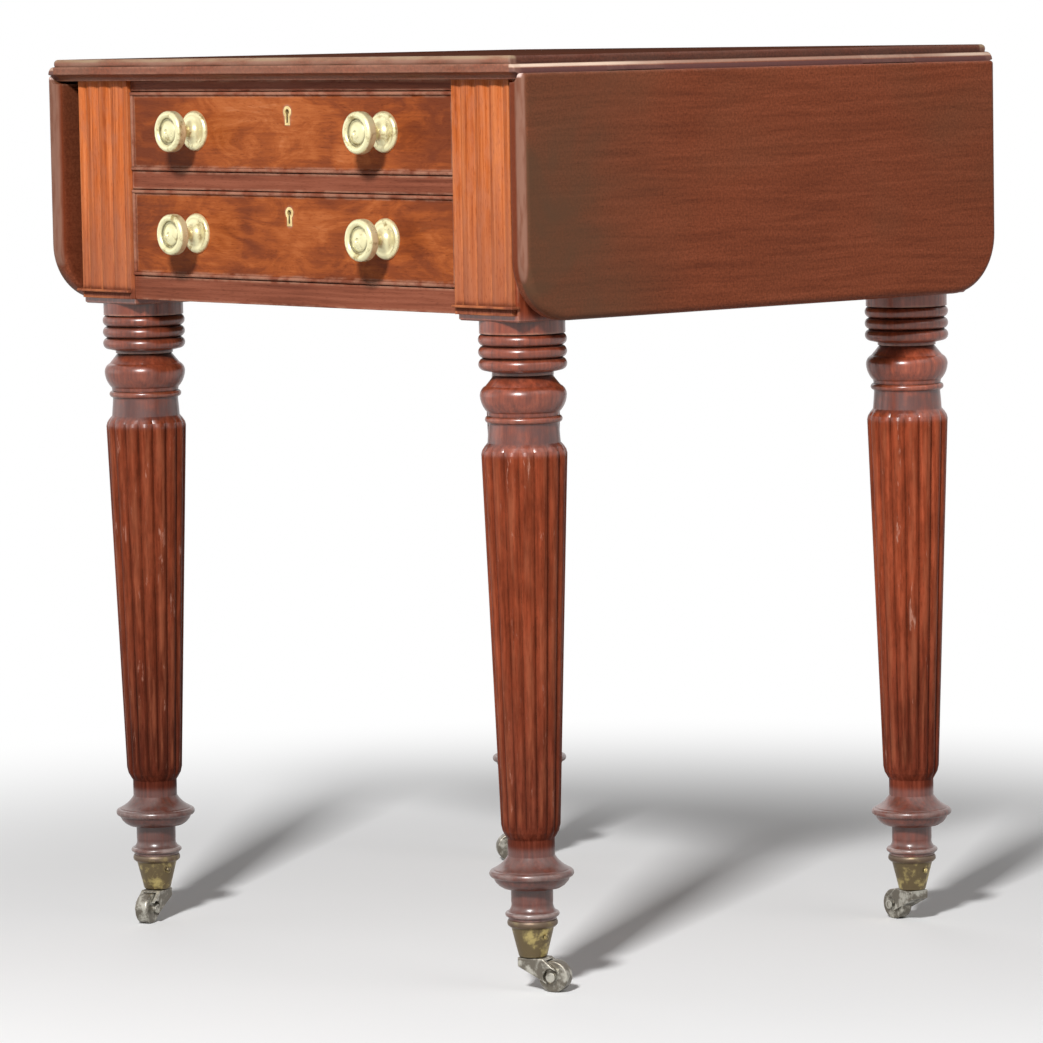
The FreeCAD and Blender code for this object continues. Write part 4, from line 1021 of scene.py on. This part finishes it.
def flat_head(radius, length):
    """Outline of a countersunk screw from its crown to its tip, and its slot's reach and depth."""
    shank = radius / 2
    reach = radius * 0.9
    outline = [(0, 0), (reach, 0), (radius, 0), (shank, HEAD_TAPER), (shank, length), (0, length)]
    return outline, reach, SLOT_DEPTH


def round_head(radius, length):
    """The same for a round-headed screw, whose head is a cap of a ball."""
    ball = (radius ** 2 + DOME_RISE ** 2) / (2 * DOME_RISE)
    steps = [math.asin(radius / ball) * step / DOME_STEPS for step in range(DOME_STEPS + 1)]
    outline = [(ball * math.sin(step), ball * (1 - math.cos(step))) for step in steps]
    reach = outline[-2][0]
    outline += [(CUP_SHANK, DOME_RISE), (CUP_SHANK, length), (0, length)]
    return outline, reach, DOME_RISE * 0.85


print("heads taper by", HEAD_TAPER, "or rise by", DOME_RISE)

# %% [markdown]
# The outline is spun about its axis. The slot could be cut with a Boolean, which often
# leaves a rough mesh. Here two cuts across the head mark out a strip, and pressing the
# strip in makes the slot. It stops just short of the rim, which keeps the mesh closed.

# %% Make a slotted screw
HEAD_FACES = -0.3
SLOT_FLOOR = (1.0, 0.82, 0.0)


def add_screw(shape, outline, reach, depth, place):
    """Spin an outline, press the slot into its head, and add the screw to a shape."""
    screw = bmesh.new()
    points = [screw.verts.new((radius, 0.0, along)) for radius, along in outline]
    lines = [screw.edges.new(pair) for pair in zip(points, points[1:])]
    bmesh.ops.spin(screw, geom=points + lines, axis=(0, 0, 1), cent=(0, 0, 0), angle=math.tau,
                   steps=20, use_merge=True)
    bmesh.ops.remove_doubles(screw, verts=screw.verts, dist=MERGE)
    bmesh.ops.recalc_face_normals(screw, faces=screw.faces)
    for side in (-SLOT_WIDTH / 2, SLOT_WIDTH / 2):
        bmesh.ops.bisect_plane(screw, geom=screw.verts[:] + screw.edges[:] + screw.faces[:],
                               plane_co=(side, 0, 0), plane_no=(1, 0, 0))
    strip = []
    for face in screw.faces:
        middle = face.calc_center_median()
        in_slot = abs(middle.x) < SLOT_WIDTH / 2 and middle.xy.length < reach
        if face.normal.z < HEAD_FACES and in_slot:
            strip.append(face)
    pressed = bmesh.ops.extrude_face_region(screw, geom=strip)["geom"]
    floor_points = [item for item in pressed if isinstance(item, bmesh.types.BMVert)]
    bmesh.ops.scale(screw, vec=SLOT_FLOOR, verts=floor_points)
    bmesh.ops.translate(screw, vec=(0.0, 0.0, depth), verts=floor_points)
    bmesh.ops.recalc_face_normals(screw, faces=screw.faces)
    bmesh.ops.transform(screw, matrix=place, verts=screw.verts)
    mesh = bpy.data.meshes.new("screw")
    screw.to_mesh(mesh)
    screw.free()
    shape.from_mesh(mesh)
    bpy.data.meshes.remove(mesh)


print("a slot is", SLOT_WIDTH, "wide and", SLOT_DEPTH, "deep")

# %% [markdown]
# Each set of screws is one piece that rides on the body it is driven into. The screws under
# the top point up, those of the leaves into the leaf, and those of the caster cups towards
# the axis of their leg. A fixed step turns each slot to an angle that looks like chance,
# and is the same in every run.

# %% Drive the screws
ANGLE_STEP = 1.9


def towards_axis(box):
    """The way a cup's screw is driven, from the side of the leg's axis that it is on."""
    middle = (box[0].x + box[1].x) / 2
    side = math.copysign(1.0, LEG_HALF_SPAN[0] - abs(middle))
    return Vector((math.copysign(1.0, middle) * side, 0.0, 0.0))


def drive_screws(node, body, kind, driven):
    """Replace a node of plain screws by slotted ones, driven one way or towards their leg."""
    shape = bmesh.new()
    for count, box in enumerate(screw_boxes[node]):
        low, high = box
        way = driven or towards_axis(box)
        length = abs((high - low).dot(way))
        crown = (low + high) / 2 - way * length / 2
        turned = Vector((0, 0, 1)).rotation_difference(way).to_matrix().to_4x4()
        place = Matrix.Translation(crown) @ turned @ Matrix.Rotation(count * ANGLE_STEP, 4, "Z")
        add_screw(shape, *kind((high.y - low.y) / 2, length), place)
    mesh = bpy.data.meshes.new("slotted_" + node)
    shape.to_mesh(mesh)
    shape.free()
    mesh.shade_smooth()
    mesh.set_sharp_from_angle(angle=math.radians(35))
    mesh.materials.append(finishes[slot_of[node]])
    piece = bpy.data.objects.new("slotted_" + node, mesh)
    bpy.context.scene.collection.objects.link(piece)
    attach(piece, body)
    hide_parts(node)
    return piece


screw_sets = [("frame_screws", "case", flat_head, Vector((0.0, 0.0, 1.0))),
              ("hinge_leaf_screws_left", "left_leaf", flat_head, Vector((-1.0, 0.0, 0.0))),
              ("hinge_leaf_screws_right", "right_leaf", flat_head, Vector((1.0, 0.0, 0.0))),
              ("cup_screws", "case", round_head, None)]
screws = [drive_screws(*screw_set) for screw_set in screw_sets]
print("slotted", {piece.name: len(piece.data.polygons) for piece in screws})

# %% [markdown]
# The photograph was taken with a long lens from the front right, a little above the top,
# and the camera leaned by a degree. A camera could be placed by eye, but this one was
# fitted to measured points: a direction from the table, then a roll about its own axis.

# %% Camera
VIEW_AZIMUTH = math.radians(48.25)
VIEW_TILT = math.radians(5.49)
VIEW_ROLL = math.radians(-1.01)
VIEW_DISTANCE = 4.387
VIEW_HEIGHT = 0.338
VIEW_SHIFT = 0.0033
LENS = 180.62
to_right = Vector((math.cos(VIEW_AZIMUTH), math.sin(VIEW_AZIMUTH), 0.0))
target = Vector((0.0, case_middle_y, VIEW_HEIGHT)) - to_right * VIEW_SHIFT
back = Vector((math.sin(VIEW_AZIMUTH) * math.cos(VIEW_TILT),
               -math.cos(VIEW_AZIMUTH) * math.cos(VIEW_TILT), math.sin(VIEW_TILT)))
camera_data = bpy.data.cameras.new("camera")
camera_data.lens = LENS
camera_data.sensor_width = 36.0
camera = bpy.data.objects.new("camera", camera_data)
aimed = (-back).to_track_quat("-Z", "Y").to_matrix().to_4x4()
camera.matrix_world = (Matrix.Translation(target + back * VIEW_DISTANCE) @ aimed
                       @ Matrix.Rotation(VIEW_ROLL, 4, "Z"))
bpy.context.scene.collection.objects.link(camera)
bpy.context.scene.camera = camera
print("camera at", [round(c, 3) for c in camera.location])

# %% [markdown]
# The floor is a wide pale sheet. Close to the table it takes real shadows; further out it
# turns to plain white for the camera, so that no horizon line shows. It is darker for
# light that bounces off it, because much white light from below would wash out the legs.

# %% Floor
WHITE = (1.0, 1.0, 1.0, 1.0)
FLOOR_SEEN = 0.86
FLOOR_BOUNCE = 0.42
FLOOR_RADIUS = 40.0
FADE = (0.45, 1.3)


def mirrored_or_seen(tree):
    """1 for light that the camera sees straight on, mirrored or through glass, and 0 for the rest."""
    rays = put(tree, "LightPath").outputs
    either = maths("MAXIMUM", rays["Is Camera Ray"], rays["Is Glossy Ray"])
    return maths("MAXIMUM", either, rays["Is Transmission Ray"])


def floor_material():
    """Pale where it is near, and white for the camera where it is far."""
    material, tree, skin = new_material("pale_floor")
    seen = mirrored_or_seen(tree)
    shade = maths("ADD", product(seen, FLOOR_SEEN - FLOOR_BOUNCE), FLOOR_BOUNCE)
    feed(skin, {"Base Color": grey(shade), "Roughness": 0.9, "Specular IOR Level": 0.0})
    away = after("VectorMath", {0: own_place(tree)}, operation="LENGTH")["Value"]
    far = product(between(away, *FADE), seen)
    white = put(tree, "Emission", {"Color": WHITE, "Strength": 1.0}).outputs[0]
    mixed = after("MixShader", {0: far, 1: skin.outputs[0], 2: white})
    feed(tree.nodes["Material Output"], {"Surface": mixed[0]})
    return material


floor_shape = bmesh.new()
bmesh.ops.create_circle(floor_shape, cap_ends=True, segments=96, radius=FLOOR_RADIUS)
floor_mesh = bpy.data.meshes.new("floor")
floor_shape.to_mesh(floor_mesh)
floor_shape.free()
floor_mesh.materials.append(floor_material())
floor = bpy.data.objects.new("floor", floor_mesh)
bpy.context.scene.collection.objects.link(floor)
print("floor", floor.name, "radius", FLOOR_RADIUS)

# %% [markdown]
# The world is white where the camera sees it, straight on or mirrored in brass and polish.
# As a light it is much weaker: a white world would leave no shade to show the shapes.

# %% World
WORLD_LIGHT = 0.17
world = bpy.data.worlds.new("studio")
bpy.context.scene.world = world
world.use_nodes = True
sky = world.node_tree
sky.nodes.clear()
shown = mirrored_or_seen(sky)
strength = maths("ADD", product(shown, 1.0 - WORLD_LIGHT), WORLD_LIGHT)
backdrop = after("Background", {"Color": WHITE, "Strength": strength})
put(sky, "OutputWorld", {"Surface": backdrop[0]})
print("world", world.name, "light", WORLD_LIGHT)

# %% [markdown]
# One lamp stands where the sun stood: in front, to the right and fairly high. It makes the
# front brighter than the leaf and throws the knobs' shadows down to the left. A broad,
# faint card of light gives the knobs a sheen, and weak lamps at the right and behind keep
# the far sides from going black. Lamps with a size give the shadows soft edges.

# %% Lamps
def lamp(name, direction, distance, width, height, power):
    """A flat lamp that looks at the middle of the table."""
    data = bpy.data.lights.new(name, "AREA")
    data.shape = "RECTANGLE"
    data.size = width
    data.size_y = height
    data.energy = power
    lamp_object = bpy.data.objects.new(name, data)
    towards = Vector(direction).normalized()
    lamp_object.location = target + towards * distance
    lamp_object.rotation_euler = (-towards).to_track_quat("-Z", "Y").to_euler()
    bpy.context.scene.collection.objects.link(lamp_object)
    return lamp_object


lamps = [lamp("key", (0.45, -0.69, 0.55), distance=4.6, width=0.5, height=0.5, power=228.0),
         lamp("card", (-0.74, -0.66, 0.20), distance=2.8, width=2.4, height=1.3, power=7.0),
         lamp("side", (0.80, 0.15, 0.75), distance=4.2, width=2.2, height=2.2, power=14.0),
         lamp("fill", (-0.75, 0.35, 0.5), distance=4.0, width=2.2, height=2.2, power=14.0)]
bpy.context.scene.view_settings.view_transform = "Standard"
print("lamps", [lamp_object.name for lamp_object in lamps])
